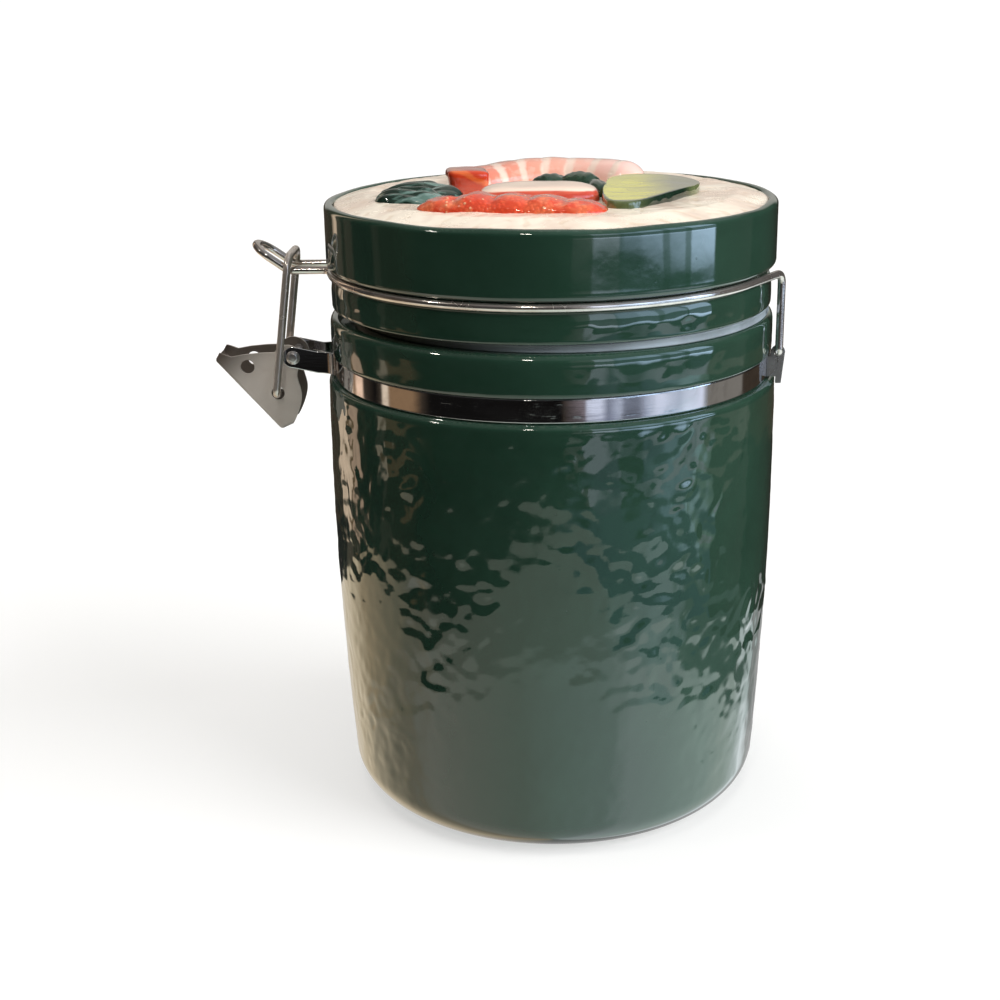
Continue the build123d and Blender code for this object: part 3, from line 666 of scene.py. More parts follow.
rivet_x, rivet_z = -77.05, 136.2
strip_radius, strip_half, strip_z = 64.45, 3.25, 134.6
ear_start, ear_bend, ear_half_gap, eye_half, tip_half = -69.71, 6.5, 6.7, 3.2, 0.35
bend_x = -math.sqrt((strip_radius + ear_bend) ** 2 - (ear_half_gap + ear_bend) ** 2)
bend_y = ear_half_gap + ear_bend
tangent = math.degrees(math.atan2(bend_y, -bend_x))
ear_x = np.concatenate([
    np.linspace(bend_x, rivet_x, 16)[1:],
    rivet_x - eye_half * np.sin(np.linspace(0, math.pi / 2, 12))[1:],
])
half_plan = np.concatenate([
    arc((0, 0), strip_radius, 0, 180 - tangent, 190),
    arc((bend_x, bend_y), ear_bend, -tangent, -90, 18)[1:],
    np.stack([ear_x, ear_half_gap + 0 * ear_x], axis=1),
])
plan = np.concatenate([half_plan[::-1], (half_plan * [1, -1])[1:]])
run = np.gradient(plan, axis=0)
run /= np.linalg.norm(run, axis=1, keepdims=True)
aside = np.stack([-run[:, 1], run[:, 0]], axis=1)
toward_eye = past(plan[:, 0], ear_start, rivet_x - ear_start)
beyond = np.clip(rivet_x - plan[:, 0], 0, eye_half)
ear_half = np.sqrt(np.maximum(eye_half ** 2 - beyond ** 2, tip_half ** 2))
half_tall = np.where(beyond > 0, ear_half, strip_half + (eye_half - strip_half) * toward_eye)
middle_z = strip_z + (rivet_z - strip_z) * toward_eye
section = strip_section(0.3, 0.16)
through = section[:, 0][None, :]
up = section[:, 1][None, :] * half_tall[:, None] + section[:, 2][None, :]
strip_points = np.concatenate([
    plan[:, None, :] + aside[:, None, :] * through[..., None],
    (middle_z[:, None] + up)[..., None],
], axis=-1)
caps = strip_points.mean(axis=1, keepdims=True) + 0 * strip_points
strip = skin("Neck_Strip", np.concatenate([caps[:1], strip_points, caps[-1:]]))

# Rolled steel: a faint grain along the strip or wire, wipe marks and hair scratches.
rolled_steel, nodes, have, give = group(
    "Rolled Steel",
    [("Place", VECTOR), ("Bright", COLOUR), ("Dull", COLOUR), ("Polish", NUMBER, 0.1),
     ("Grain Along", VECTOR, (1.0, 1.0, 1.0))],
    [("Colour", COLOUR), ("Roughness", NUMBER), ("Height", NUMBER)],
)
along = nodes.add("VectorMath", have["Place"], have["Grain Along"], operation="MULTIPLY").outputs[0]
grain = nodes.noise(along, 1500.0, 3.0, Roughness=0.6)
wipes = nodes.noise(have["Place"], 110.0, 4.0, Distortion=1.2)
hair = nodes.cells(along, 260.0, feature="DISTANCE_TO_EDGE")["Distance"]
scratch = nodes.times(nodes.spread(hair, 0.02, 0.005), nodes.spread(wipes, 0.52, 0.62))
wiped = nodes.spread(wipes, 0.38, 0.68)
hollows = nodes.spread(nodes.add("NewGeometry").outputs["Pointiness"], 0.50, 0.43)
dull_share = nodes.maths("MAXIMUM", nodes.times(wiped, 0.35), nodes.times(hollows, 0.8))
grained = nodes.times(grain, 0.04, nodes.times(wiped, 0.05, have["Polish"]))
nodes.hand(
    give,
    Colour=nodes.blend(dull_share, have["Bright"], have["Dull"]),
    Roughness=nodes.times(scratch, 0.15, grained),
    Height=nodes.maths("SUBTRACT", grain, scratch),
)
even_grain = (1.0, 1.0, 1.0)


def steel(name, polished, dull, polish, grain_along, depth=0.000004, metal=1.0, extra=None):
    """Rolled steel in two screen colours, with grain stretched along the given direction;
    extra(nodes, place, colour) may repaint it."""
    made, nodes, shader, place = finish(name, Metallic=metal)
    sheet = nodes.add("Group", node_tree=rolled_steel, Place=place, Bright=paint(*polished),
                      Dull=paint(*dull), Polish=polish, Grain_Along=grain_along).outputs
    colour = extra(nodes, place, sheet["Colour"]) if extra else sheet["Colour"]
    colour, roughness = dusted(nodes, place, colour, sheet["Roughness"], 0.25)
    joined(nodes, shader, colour, roughness, sheet["Height"], depth)
    return made


strip.data.materials.append(
    steel("Polished_Strip", (226, 226, 230), (186, 182, 182), 0.035, (0.06, 0.06, 1.0)))
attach(strip, "jar")
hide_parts("neck_band")


# Hinge bracket. Pressed stainless sheet lying on the strip at the back of the lid, with two ears
# whose eyes take the lid wire's pins.
def trimmed_copy(node_name, name, edge):
    """A merged copy of a pressed part with its edges rounded over by a Bevel."""
    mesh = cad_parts[node_name].data.copy()
    made = bpy.data.objects.new(name, mesh)
    scene.collection.objects.link(made)
    mesh.materials.clear()
    shape = bmesh.new()
    shape.from_mesh(mesh)
    bmesh.ops.remove_doubles(shape, verts=shape.verts, dist=1e-6)
    shape.to_mesh(mesh)
    shape.free()
    for layer in [a.name for a in mesh.attributes if a.name in ("custom_normal", "sharp_face", "sharp_edge")]:
        mesh.attributes.remove(mesh.attributes[layer])
    mesh.shade_smooth()
    mesh.set_sharp_from_angle(angle=math.radians(32))
    round_over = made.modifiers.new("Deburred", "BEVEL")
    round_over.width = edge
    round_over.segments = 2
    round_over.limit_method = "ANGLE"
    round_over.angle_limit = math.radians(40)
    even = made.modifiers.new("Flat_Faces", "WEIGHTED_NORMAL")
    even.keep_sharp = True
    return made


bracket = trimmed_copy("hinge_bracket", "Hinge_Bracket", 0.00012)
bracket.data.materials.append(
    steel("Pressed_Bracket", (160, 158, 158), (112, 108, 104), 0.24, (0.2, 1.0, 0.2), metal=0.75))
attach(bracket, "jar")
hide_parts("hinge_bracket")


# Latch rivet. A solid pin through both ears, its two heads pressed into low polished domes.
pin_radius, head_radius, head_start, dome_top = 1.5, 2.1, 7.0, 7.8
half_rivet = [
    (0, dome_top, 0), (1.2, 7.72, 0.6), (head_radius, 7.1, 0.15), (head_radius, head_start, 0.05),
    (pin_radius, head_start, 0.05),
]
rivet_line = outline([(r, -out, fillet) for r, out, fillet in half_rivet] + half_rivet[::-1], 0.3)
rivet_points = turned(rivet_line, 48)[..., [0, 2, 1]] + [rivet_x, 0, rivet_z]
rivet = skin("Latch_Rivet", rivet_points[::-1])
rivet.data.materials.append(
    steel("Rivet_Steel", (206, 202, 202), (150, 142, 138), 0.22, even_grain, metal=0.7))
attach(rivet, "jar")
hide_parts("latch_rivet")


# Latch lever. A channel pressed from 0.8 mm satin sheet: two side plates and the thumb face
# between them, with holes for the rivet, the bail's feet and a finger grip.
def handled_and_shaded(nodes, place, colour):
    """Darker with handling towards the upper outer end of the lever, and with painted shade all over its
    inside.
    """
    x, y, z = nodes.axes(place)
    # Painted shade: the inside of the channel, between the plates, is darkened.
    shaded_inside = nodes.spread(nodes.maths("ABSOLUTE", y), 0.0060, 0.0056)
    outer_top = nodes.spread(nodes.maths("SUBTRACT", x, z), -0.216, -0.238)
    worn_and_shaded = nodes.maths("MAXIMUM", outer_top, nodes.times(shaded_inside, 0.85))
    return nodes.blend(worn_and_shaded, colour, paint(96, 84, 76))


lever = trimmed_copy("latch_lever", "Latch_Lever", 0.00016)
lever.data.materials.append(steel(
    "Satin_Lever", (255, 248, 243), (238, 228, 222), 0.34, (0.35, 1.0, 0.12), metal=0.0, extra=handled_and_shaded))
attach(lever, "lever")
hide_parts("latch_lever")


# Bail. One stainless wire, 2.3 mm thick, bent to a tall loop with its feet turned in under the
# lever's plates.
wire_radius = 1.15


def bent(corners):
    """A 3-D line through (x, y, z, bend) corners: each bend is an arc tangent to both its runs,
    centre along their half-way direction, divided about every 8 degrees."""
    line = [np.array(corners[0][:3], float)]
    for before, corner, after in zip(corners[:-2], corners[1:-1], corners[2:]):
        here, radius = np.array(corner[:3], float), corner[3]
        back = (np.array(before[:3]) - here) / np.linalg.norm(np.array(before[:3]) - here)
        on = (np.array(after[:3]) - here) / np.linalg.norm(np.array(after[:3]) - here)
        half = math.acos(float(np.clip(back @ on, -1, 1))) / 2
        centre = here + (back + on) / np.linalg.norm(back + on) * radius / math.sin(half)
        start = here + back * radius / math.tan(half) - centre
        end = here + on * radius / math.tan(half) - centre
        swing = math.pi - 2 * half
        share = np.linspace(0, 1, max(3, int(math.degrees(swing) / 8.0) + 2))[:, None]
        along = np.sin((1 - share) * swing) * start + np.sin(share * swing) * end
        line.extend(centre + along / math.sin(swing))
    line.append(np.array(corners[-1][:3], float))
    return np.array(line)


def evenly(line, step):
    """The same line with points no further apart than step, by length along it."""
    gaps = np.linalg.norm(np.diff(line, axis=0), axis=1)
    parts = np.maximum(1, np.ceil(gaps / step)).astype(int)
    share = np.concatenate([np.arange(n) / n for n in parts])
    at = np.repeat(np.arange(len(gaps)), parts)
    dense = line[at] + (line[at + 1] - line[at]) * share[:, None]
    return np.concatenate([dense, line[-1:]])


def wire(name, line):
    """A round wire along a line: each ring is the circle across the line's direction, and the
    ends are domed by shrinking rings r cos t that step on by 0.5 r sin t."""
    toward = np.gradient(line, axis=0)
    toward /= np.linalg.norm(toward, axis=1, keepdims=True)
    steady = np.array([0.35, 0.2, 0.91])
    first = steady - toward * (toward @ steady)[:, None]
    first /= np.linalg.norm(first, axis=1, keepdims=True)
    second = np.cross(toward, first)
    dome = np.radians([30, 60, 80, 90])
    step_on = (0.5 * wire_radius * np.sin(dome))[:, None]
    middles = np.concatenate([
        line[:1] - toward[:1] * step_on[::-1],
        line,
        line[-1:] + toward[-1:] * step_on,
    ])
    sizes = wire_radius * np.concatenate([np.cos(dome[::-1]), np.ones(len(line)), np.cos(dome)])
    first, second = (np.pad(side, ((4, 4), (0, 0)), mode="edge")[:, None] for side in (first, second))
    angles = np.linspace(0, 2 * np.pi, 21)[:-1][None, :, None]
    circles = np.cos(angles) * first + np.sin(angles) * second
    return skin(name, middles[:, None] + sizes[:, None, None] * circles)


bail_half = [(-82.35, 4.9, 125.1, 0), (-82.35, 9.3, 125.1, 2.0), (-76.4, 9.3, 166.7, 4.5)]
bail_line = bent(bail_half + [(x, -y, z, bend) for x, y, z, bend in bail_half[::-1]])
bail = wire("Bail_Wire", evenly(bail_line, 1.2))
bail.data.materials.append(
    steel("Dull_Wire", (244, 234, 228), (196, 180, 168), 0.14, even_grain, 0.000006, metal=0.60))
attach(bail, "bail")
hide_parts("bail_wire")


# Gasket. A moulded grey-white rubber ring squeezed between rim and lid; it sits a little off
# centre, so more of it shows at the right than at the latch.
seam_z, gasket_top = 151.05, 152.3
gasket_line = outline([
    (53.6, rim_z, 0), (62.6, rim_z, 0.5), (63.3, rim_z, 0.5), (63.3, seam_z, 0), (63.3, gasket_top, 0.5),
    (53.6, gasket_top, 0.5), (53.6, rim_z, 0),
], 0.5)[:-1]
gasket_points = turned(gasket_line, 240)
reach, outward = from_axis(gasket_points)
angle = np.arctan2(gasket_points[..., 1], gasket_points[..., 0])
outer_part = past(reach, 58, 4)
grow = outer_part * (-2.0 + 3.2 * np.cos(angle + math.radians(26)) + 0.06 * np.sin(5 * angle))
waist = -0.22 * np.clip(1 - ((gasket_points[..., 2] - seam_z) / 0.9) ** 2, 0, 1) * outer_part
gasket_points = gasket_points + outward * (grow + waist)[..., None]
gasket = skin("Lid_Gasket", gasket_points[::-1], loop=True)

moulded, nodes, have, give = group(
    "Moulded Rubber",
    [("Place", VECTOR), ("Fresh", COLOUR), ("Aged", COLOUR)],
    [("Colour", COLOUR), ("Roughness", NUMBER), ("Height", NUMBER)],
)
bloom = nodes.noise(have["Place"], 70.0, 4.0)
nodes.hand(
    give,
    Colour=nodes.blend(nodes.spread(bloom, 0.35, 0.7), have["Fresh"], have["Aged"]),
    Roughness=nodes.spread(bloom, 0.3, 0.7, 0.30, 0.48),
    Height=nodes.noise(have["Place"], 1800.0, 2.0),
)
rubber, nodes, shader, place = finish("Grey_White_Rubber", IOR=1.5, Specular_IOR_Level=0.5)
face = nodes.add("Group", node_tree=moulded, Place=place, Fresh=paint(150, 162, 172),
                 Aged=paint(126, 136, 144)).outputs
# Painted shade: towards the latch, at -x, the rubber is darkened to a dark olive.
latch_side_shade = nodes.spread(nodes.axes(place)[0], 0.005, -0.045)
shaded_towards_latch = nodes.blend(latch_side_shade, face["Colour"], paint(58, 60, 48))
joined(nodes, shader, shaded_towards_latch, face["Roughness"], face["Height"], 0.00001)
gasket.data.materials.append(rubber)
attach(gasket, "lid")
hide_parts("lid_gasket")


# Lid. Slip-cast and hollow under the relief: a plug for the mouth, a lower ring, the wire's
# groove and a tall plain flange whose lip stands round the white field, all glazed bottle green.
plug_foot, lid_seat, flange_radius, lip_top, field_seat = 145.0, 152.3, 66.0, 182.4, 180.3
lid_line = outline([
    (0, 173.8, 0), (46.5, 173.8, 4.0), (46.5, plug_foot, 1.5), (53.5, plug_foot, 1.5),
    (53.5, lid_seat, 0.4), (64.75, lid_seat, 0.6), (64.80, 155.0, 0), (64.80, 157.2, 0),
    (64.66, 158.8, 0), (64.30, 160.2, 0), (63.9, 160.9, 0.3), (63.6, 161.0, 0.05), (63.6, 163.5, 0.4),
    (flange_radius, 163.5, 1.7), (flange_radius, 173, 0), (flange_radius, lip_top, 1.7),
    (63.1, lip_top, 1.0), (63.1, field_seat, 0.3), (0, field_seat, 0),
], 0.9)
under = np.arange(len(lid_line)) < np.argmax(lid_line[:, 0] > 55)
on_seat = (abs(lid_line[:, 1] - field_seat) < 0.1) & (lid_line[:, 0] < 62)
lid_points = turned(thinned(lid_line, under | on_seat, 4), 480)
reach, outward = from_axis(lid_points)
z = lid_points[..., 2]
outside = past(reach, 61.5, 1.5)
flange = past(z, 163.6, 2) * outside
ring_part = past(z, 153.0, 2) * past(160.8, z, 1.5) * outside
hand_made = 0.08 * drift(lid_points, 30, 21) + 0.05 * drift(lid_points, 13, 22)
hand_made = hand_made + 0.006 * facets(lid_points, 9, 23)
ring_wave = 0.09 * drift(lid_points * [1, 1, 0.6], 20, 24) + 0.085 * facets(lid_points, 5.0, 25)
lip = past(z, 180.6, 1.6) * past(reach, 61.0, 1.0)
uneven = 0.24 * drift(lid_points * [1, 1, 0], 15, 26) - 0.14
lid_points = lid_points + outward * (flange * (hand_made - 0.10) + ring_part * ring_wave)[..., None]
inner_lip = lip * past(64.8, reach, 1.4)
lid_points = lid_points + outward * (inner_lip * 0.35 * drift(lid_points * [1, 1, 0], 8, 27))[..., None]
lid_points[..., 2] += lip * uneven
lid = skin("Lid_Body", lid_points)
lid.data.materials.append(glazed("Bottle_Green_Smooth", *bottle_green, 0.03, gloss=0.035))
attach(lid, "lid")
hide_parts("lid_shell")


# Lid wire. One stainless wire in the lid's groove: at the latch its two strands run out and rise to
# a rounded nose for the bail, and at the hinge they go down to pins in the bracket's eyes.
ring_radius, ring_z, root_bend, strand_half_gap = 64.8, 162.2, 3.0, 5.8
leg_x, leg_y, pin_y, pin_z = 65.85, 17.7, 14.7, 138.85
nose_start_x, nose_tip_run, nose_rise = -77.0, 12.2, math.radians(35)
root_y = strand_half_gap + root_bend
root_x = -math.sqrt((ring_radius + root_bend) ** 2 - root_y ** 2)
root_angle = math.degrees(math.atan2(root_y, -root_x))
leaves_at = math.degrees(math.atan2(leg_y, leg_x) + math.acos(ring_radius / math.hypot(leg_x, leg_y)))
round_part = np.concatenate([
    arc((0, 0), ring_radius, leaves_at, 180 - root_angle, 150),
    arc((root_x, root_y), root_bend, -root_angle, -90, 10)[1:],
])
round_part = np.concatenate([round_part, np.full((len(round_part), 1), ring_z)], axis=1)
hinge_part = bent([
    (leg_x, pin_y, pin_z, 0), (leg_x, leg_y, pin_z, 1.5), (leg_x, leg_y, ring_z, 3.0), (*round_part[0], 0),
])
tip_out = np.array([-math.cos(nose_rise), 0, math.sin(nose_rise)])
nose_start = np.array([nose_start_x, strand_half_gap, ring_z])
nose_mid = nose_start + tip_out * (nose_tip_run - strand_half_gap)
nose_part = bent([(*round_part[-1], 0), (*nose_start, 3.0), (*nose_mid, 0)])
sweep = np.radians(np.linspace(0, 90, 12))[1:, None]
inward = np.array([0, 1, 0]) * strand_half_gap * (np.cos(sweep) - 1)
nose_turn = nose_mid + tip_out * strand_half_gap * np.sin(sweep) + inward
half_wire = np.concatenate([hinge_part[:-1], round_part, nose_part[1:], nose_turn])
lid_wire_line = np.concatenate([half_wire, (half_wire * [1, -1, 1])[::-1][1:]])
lid_wire = wire("Lid_Wire", evenly(lid_wire_line, 1.4))
lid_wire.data.materials.append(
    steel("Drawn_Wire", (232, 224, 220), (176, 158, 146), 0.09, even_grain, 0.000006, metal=0.92))
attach(lid_wire, "lid")
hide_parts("lid_wire")


# Rice field. The lid's top is pressed with soft grains that lie every way, in cream-white glaze; between
# # them it is tan, partly where the glaze pools and partly as painted shade.
def grain_field(points, size, seed, long, wide):
    """Rounded grains seen from above: one jittered centre and one heading in each square of the
    given size; the height is the highest of 1 - (along / long) ** 2 - (aside / wide) ** 2."""
    square = np.floor(points / size).astype(int)
    draw = np.random.default_rng(seed)
    order = draw.permutation(draws)
    jitter, headings = draw.uniform(0, 1, (draws, 2)), draw.uniform(0, math.pi, draws)
    lift = draw.uniform(-0.25, 0.25, draws)
    best = np.full(points.shape[:-1], -1.0)
    for step in np.ndindex(5, 5):
        here = square + np.array(step) - 2
        pick = picked(order, here)
        away = points - (here + jitter[pick]) * size
        cos, sin = np.cos(headings[pick]), np.sin(headings[pick])
        along = away[..., 0] * cos + away[..., 1] * sin
        aside = away[..., 1] * cos - away[..., 0] * sin
        height = 1 + lift[pick] - (along / long) ** 2 - (aside / wide) ** 2
        best = np.logaddexp(best * 5, height * 5) / 5
    return np.clip(best, -1, 1.3)


bed_foot, bed_radius, bed_z = 180.35, 63.0, 183.75
bed_line = outline([
    (0, bed_foot, 0), (62.9, bed_foot, 0.2), (bed_radius, 181.7, 0.5), (54.0, bed_z, 6.0), (0, bed_z, 0),
], 0.55)
bed_line = thinned(bed_line, (bed_line[:, 1] < bed_foot + 0.05) & (bed_line[:, 0] < 62), 10)
bed_points = turned(bed_line, 560)
reach, _ = from_axis(bed_points)
on_top = past(bed_points[..., 2], 181.0, 0.8) * past(bed_radius, reach, 1.5)
grains = grain_field(bed_points[..., :2], 3.1, 31, 3.4, 1.5)
grain_relief = (0.13 - 0.08 * past(reach, 52, 8)) * grains - 0.06
bed_points[..., 2] += on_top * (grain_relief + 0.26 * drift(bed_points * [1, 1, 0], 10, 32))
bed = skin("Rice_Field", bed_points, hollow=np.clip(0.55 - grains, 0, 1))


def grainy_with_painted_shade(nodes, place, colour):
    """Tan between the grains, partly where the glaze pools and partly painted shade, and each patch slightly
    warmer or cooler.
    """
    patch = nodes.noise(place, 75.0, 3.0)
    colour = nodes.blend(nodes.spread(patch, 0.42, 0.62), colour, paint(232, 212, 196))
    return nodes.tint(colour, nodes.stored("hollow"), 0.10, 0.9, 0.40, paint(214, 186, 158)), None


bed.data.materials.append(glazed(
    "Cream_White_Grains", (250, 238, 222), (254, 246, 234), (240, 226, 208), 0.012, gloss=0.24,
    skin_depth=0.00003, coat=0.2, extra=grainy_with_painted_shade))
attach(bed, "lid")
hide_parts("rice_bed")


# Relief fillings. Each is modelled in the lid's clay and glazed in its own colours: domed lumps,
# folded leaves, a soft slab, a block, a ribbed tail and a tilted slice.
bed_top, mound_sink, flat_sink = 183.8, 0.8, 0.6


def squared(half, share, power):
    """One side of a squared oval |x/a|^n + |y/b|^n = 1: a * share ** (2/n), with share's sign."""
    return half * np.sign(share) * np.abs(share) ** (2 / power)


def mound(centre, half_long, half_wide, tall, heading, plan, side, around=96, up=30):
    """A domed lump: plan outline |x/a|^n + |y/b|^n = 1 shrunk by cos(t)^(2/m) while it climbs by
    sin(t)^(2/m), t from 0 to 90 degrees; it starts a little below the white field. It gives the
    points, and the same points about the lump's own middle."""
    angles = np.linspace(0, 2 * np.pi, around + 1)[:-1]
    x, y = squared(half_long, np.cos(angles), plan), squared(half_wide, np.sin(angles), plan)
    t = np.linspace(0, np.pi / 2, up)
    shrink, climb = np.cos(t) ** (2 / side), np.sin(t) ** (2 / side)
    shrink[-1] = 0
    turn = math.radians(heading)
    level = (mound_sink + tall) * climb[:, None] + 0 * x - mound_sink
    px, py = shrink[:, None] * x, shrink[:, None] * y
    rows = np.stack([
        centre[0] + px * math.cos(turn) - py * math.sin(turn),
        centre[1] + px * math.sin(turn) + py * math.cos(turn),
        bed_top + level,
    ], axis=-1)
    foot = np.broadcast_to([*centre, bed_top - mound_sink], rows[:1].shape)
    local = np.stack([px, py, level], axis=-1)
    return np.concatenate([foot, rows]), np.concatenate([local[:1] * 0, local])


def raised(rows, amount):
    """The same rows lifted by amount, which fades to nothing at the foot and stays in the middle."""
    lifted = rows.copy()
    lifted[..., 2] += past(rows[..., 2], bed_top, 1.2) * amount
    lifted[-1] = lifted[-1].mean(axis=0)
    return lifted


def on_lid(piece, material, node_name):
    """The finished piece set on the lid in place of the solid of that name."""
    piece.data.materials.append(material)
    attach(piece, "lid")
    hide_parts(node_name)


# The front row is one long irregular mass: five soft swellings along it, lower to the right.
rows, local = mound((-10.3, -37.4), 26.2, 7.7, 4.5, -10, plan=3.0, side=2.5, around=240, up=46)
swell = np.max([np.exp(-((local[..., 0] - at) / wide) ** 2) * tall for at, wide, tall in (
    (-20.5, 6.6, 0.96), (-9.8, 7.0, 1.0), (0.2, 6.2, 0.90), (9.6, 6.4, 0.82), (19.8, 6.8, 0.72))], axis=0)
rows[..., 2] += np.clip(rows[..., 2] - bed_top, 0, 9) * (0.42 + 0.58 * swell - 1.0)
lumps = 0.38 * facets(rows, 4.6, 40, 5) + 0.16 * facets(rows, 2.4, 41, 5) + 0.10 * drift(rows, 1.5, 42)
roe = skin("Filling_Roe", raised(rows, lumps))


def beaded(nodes, place, colour):
    """Fine beads a millimetre across: deep red between them, paler orange in drifts, and in places a
    bead painted almost white as a highlight glint."""
    beads = nodes.cells(place, 900.0, feature="SMOOTH_F1", Smoothness=0.25)
    tops = nodes.spread(beads["Distance"], 0.62, 0.10)
    big = nodes.noise(place, 190.0, 3.0, Distortion=0.5)
    colour = nodes.tint(colour, big, 0.46, 0.66, 0.75, paint(246, 136, 92))
    # Painted highlights: a few lone beads are turned almost white as glints.
    few = nodes.cells(place, 620.0)
    lone = nodes.spread(nodes.add("SeparateColor", few["Color"]).outputs[0], 0.80, 0.86)
    clear = nodes.times(nodes.spread(few["Distance"], 0.30, 0.12), lone)
    colour = nodes.tint(colour, tops, 0.35, 0.0, 0.3, paint(180, 48, 32))
    colour = nodes.blend(nodes.times(clear, 0.75), colour, paint(252, 206, 160))
    return colour, nodes.times(clear, 0.8, nodes.times(tops, 0.6))


on_lid(roe, glazed("Orange_Red_Beads", (234, 88, 56), (248, 146, 104), (208, 60, 38), 0.009,
                   gloss=0.07, skin_depth=0.00012, extra=beaded), "filling_roe")

# Three folded leaves at the left, each pleated along its length.
leaf_grids = []
for centre, long, wide, tall, heading, seed in (
    ((-37.6, -9.2), 11.4, 6.2, 4.1, 5, 61),
    ((-38.8, -18.6), 10.8, 6.6, 3.5, -12, 62),
    ((-29.8, -13.5), 5.6, 6.8, 3.5, 14, 63),
):
    rows, local = mound(centre, long, wide, tall, heading, plan=2.3, side=2.2, around=120, up=40)
    pleat = np.abs(np.sin(local[..., 1] * 0.78 + 0.14 * local[..., 0] + 1.3 * drift(rows, 7, seed)))
    folds = 0.55 * facets(rows * [0.6, 1, 1], 4.2, seed + 4, 6) + 0.55 * pleat - 0.4
    leaf_grids.append(raised(rows, folds))
leaf = skin("Filling_Leaf", *leaf_grids)


def veined_with_painted_highlights(nodes, place, colour):
    """Painted highlights for the leaf's gloss over its dark green: paler green in broad strokes along the
    leaf, with fine pale ribs.
    """
    stroke = nodes.streaks(place, (80.0, 300.0, 240.0), 0.5)
    # The paler strokes and the pale ribs are painted highlights.
    colour = nodes.blend(nodes.spread(stroke, 0.48, 0.60), colour, paint(92, 122, 114))
    rib_highlight = nodes.times(nodes.spread(stroke, 0.575, 0.60), nodes.spread(stroke, 0.65, 0.62))
    return nodes.blend(nodes.times(rib_highlight, 0.35), colour, paint(140, 164, 164)), stroke


on_lid(leaf, glazed("Dark_Green_Leaf", (24, 48, 39), (96, 126, 120), (14, 32, 27), 0.006,
                    skin_depth=0.00010, extra=veined_with_painted_highlights), "filling_leaf")

# The slab is a soft flat block, sagging to both ends.
rows, local = mound((-3.2, -19.4), 17.2, 7.6, 4.7, 0, plan=3.2, side=4.6, around=140, up=36)
sag = 0.075 * local[..., 1] - 0.30 * (local[..., 0] / 18) ** 2 + 0.10 * drift(rows, 7, 71) - 0.25
slab = skin("Filling_Slab", raised(rows, sag))


def marbled(nodes, place, colour):
    """Deep coral with fine streaks that run along the slab, turned pale cream on the faces that point up."""
    facing_up = nodes.axes(nodes.add("NewGeometry").outputs["Normal"])[2]
    streak = nodes.streaks(place, (60.0, 260.0, 700.0), 0.4)
    colour = nodes.tint(colour, streak, 0.48, 0.64, 0.55, paint(222, 112, 86))
    top_share = nodes.spread(nodes.times(streak, 0.16, facing_up), 0.82, 0.96)
    cream = nodes.blend(streak, paint(250, 216, 198), paint(254, 232, 214))
    return nodes.blend(top_share, colour, cream), None


on_lid(slab, glazed("Coral_Slab", (208, 84, 66), (234, 140, 114), (186, 62, 48), 0.008, gloss=0.08,
                    extra=marbled), "filling_slab")

# The block is cut wider at its top than at its foot, with nearly flat faces.
block_centre = np.array([-24.1, 1.6])
rows, local = mound(block_centre, 5.9, 6.2, 6.6, 8, plan=5.5, side=7.0, around=120, up=36)
lean = past(rows[..., 2:], bed_top, 6.5)
above_foot = past(rows[..., 2:], bed_top - mound_sink, 1)
rows[..., :2] += (rows[..., :2] - block_centre) * (lean - 0.35) * 0.18 * above_foot
chunk = skin("Filling_Chunk", raised(rows, 0.22 * facets(rows, 5.5, 81, 4) - 0.05 * local[..., 0] - 0.1))


def striped_highlight(nodes, place, colour):
    """A lighter orange band across the block's front and top: a painted highlight."""
    x, _, z = nodes.axes(place)
    wavy = nodes.times(nodes.noise(place, 160.0, 2.0), 0.004, nodes.times(x, 0.45, z))
    highlight_band = nodes.times(nodes.spread(wavy, 0.1788, 0.1800), nodes.spread(wavy, 0.1816, 0.1806))
    return nodes.blend(nodes.times(highlight_band, 0.45), colour, paint(238, 132, 66)), None


on_lid(chunk, glazed("Orange_Block", (204, 66, 34), (236, 120, 70), (176, 44, 22), 0.007, gloss=0.06,
                     extra=striped_highlight), "filling_chunk")

# Ribbed tail: a half-round bar bent round the back of the field through three points, a circle's
# arc, with faint rings along it.
ends = np.array([[-23.8, 20.5], [0.0, 29.2], [22.7, 21.6]])
sides = ends[1:] - ends[0]
tail_centre = ends[0] + np.linalg.solve(sides, np.sum(sides * sides, axis=1) / 2)
tail_radius = np.linalg.norm(ends[0] - tail_centre)
from_angle, _, to_angle = np.arctan2(ends[:, 1] - tail_centre[1], ends[:, 0] - tail_centre[0])
share = np.linspace(-0.13, 1.13, 170)
at_angle = (from_angle + (to_angle - from_angle) * share)[:, None]
full = np.clip((1 - np.abs(share * 2 - 1) / 1.26) / 0.26, 0, 1)
full = np.sqrt(1 - (1 - full) ** 2)
rings = np.abs(np.sin((share + 0.035) * math.pi * 6.0)) ** 0.7
half_wide = 8.6 * full * (1.0 - 0.20 * share) * (0.975 + 0.025 * rings)
rise_left = 0.70 + 0.30 * eased(past(share, 0, 0.45))
tall = 6.6 * full * rise_left * (1.0 - 0.08 * share) * (0.965 + 0.035 * rings)
turn_up = np.linspace(0, np.pi, 34)
radius_now = tail_radius - np.cos(turn_up) * half_wide[:, None]
prawn_rows = np.stack([
    tail_centre[0] + radius_now * np.cos(at_angle),
    tail_centre[1] + radius_now * np.sin(at_angle),
    bed_top - flat_sink + (tall + flat_sink)[:, None] * np.sin(turn_up) ** 0.8 * (full[:, None] > 0),
], axis=-1)
under_row = prawn_rows[:, ::-1][:, 1:-1].copy()
under_row[..., 2] = bed_top - flat_sink
prawn_rows = np.concatenate([prawn_rows, under_row], axis=1)
prawn_rows[..., 2] += 0.16 * drift(prawn_rows, 5.0, 91) * past(prawn_rows[..., 2], bed_top, 2)
prawn_rows[[0, -1]] = prawn_rows[[0, -1]].mean(axis=1, keepdims=True)
prawn = skin("Filling_Prawn", prawn_rows, along=np.repeat(share, prawn_rows.shape[1]))


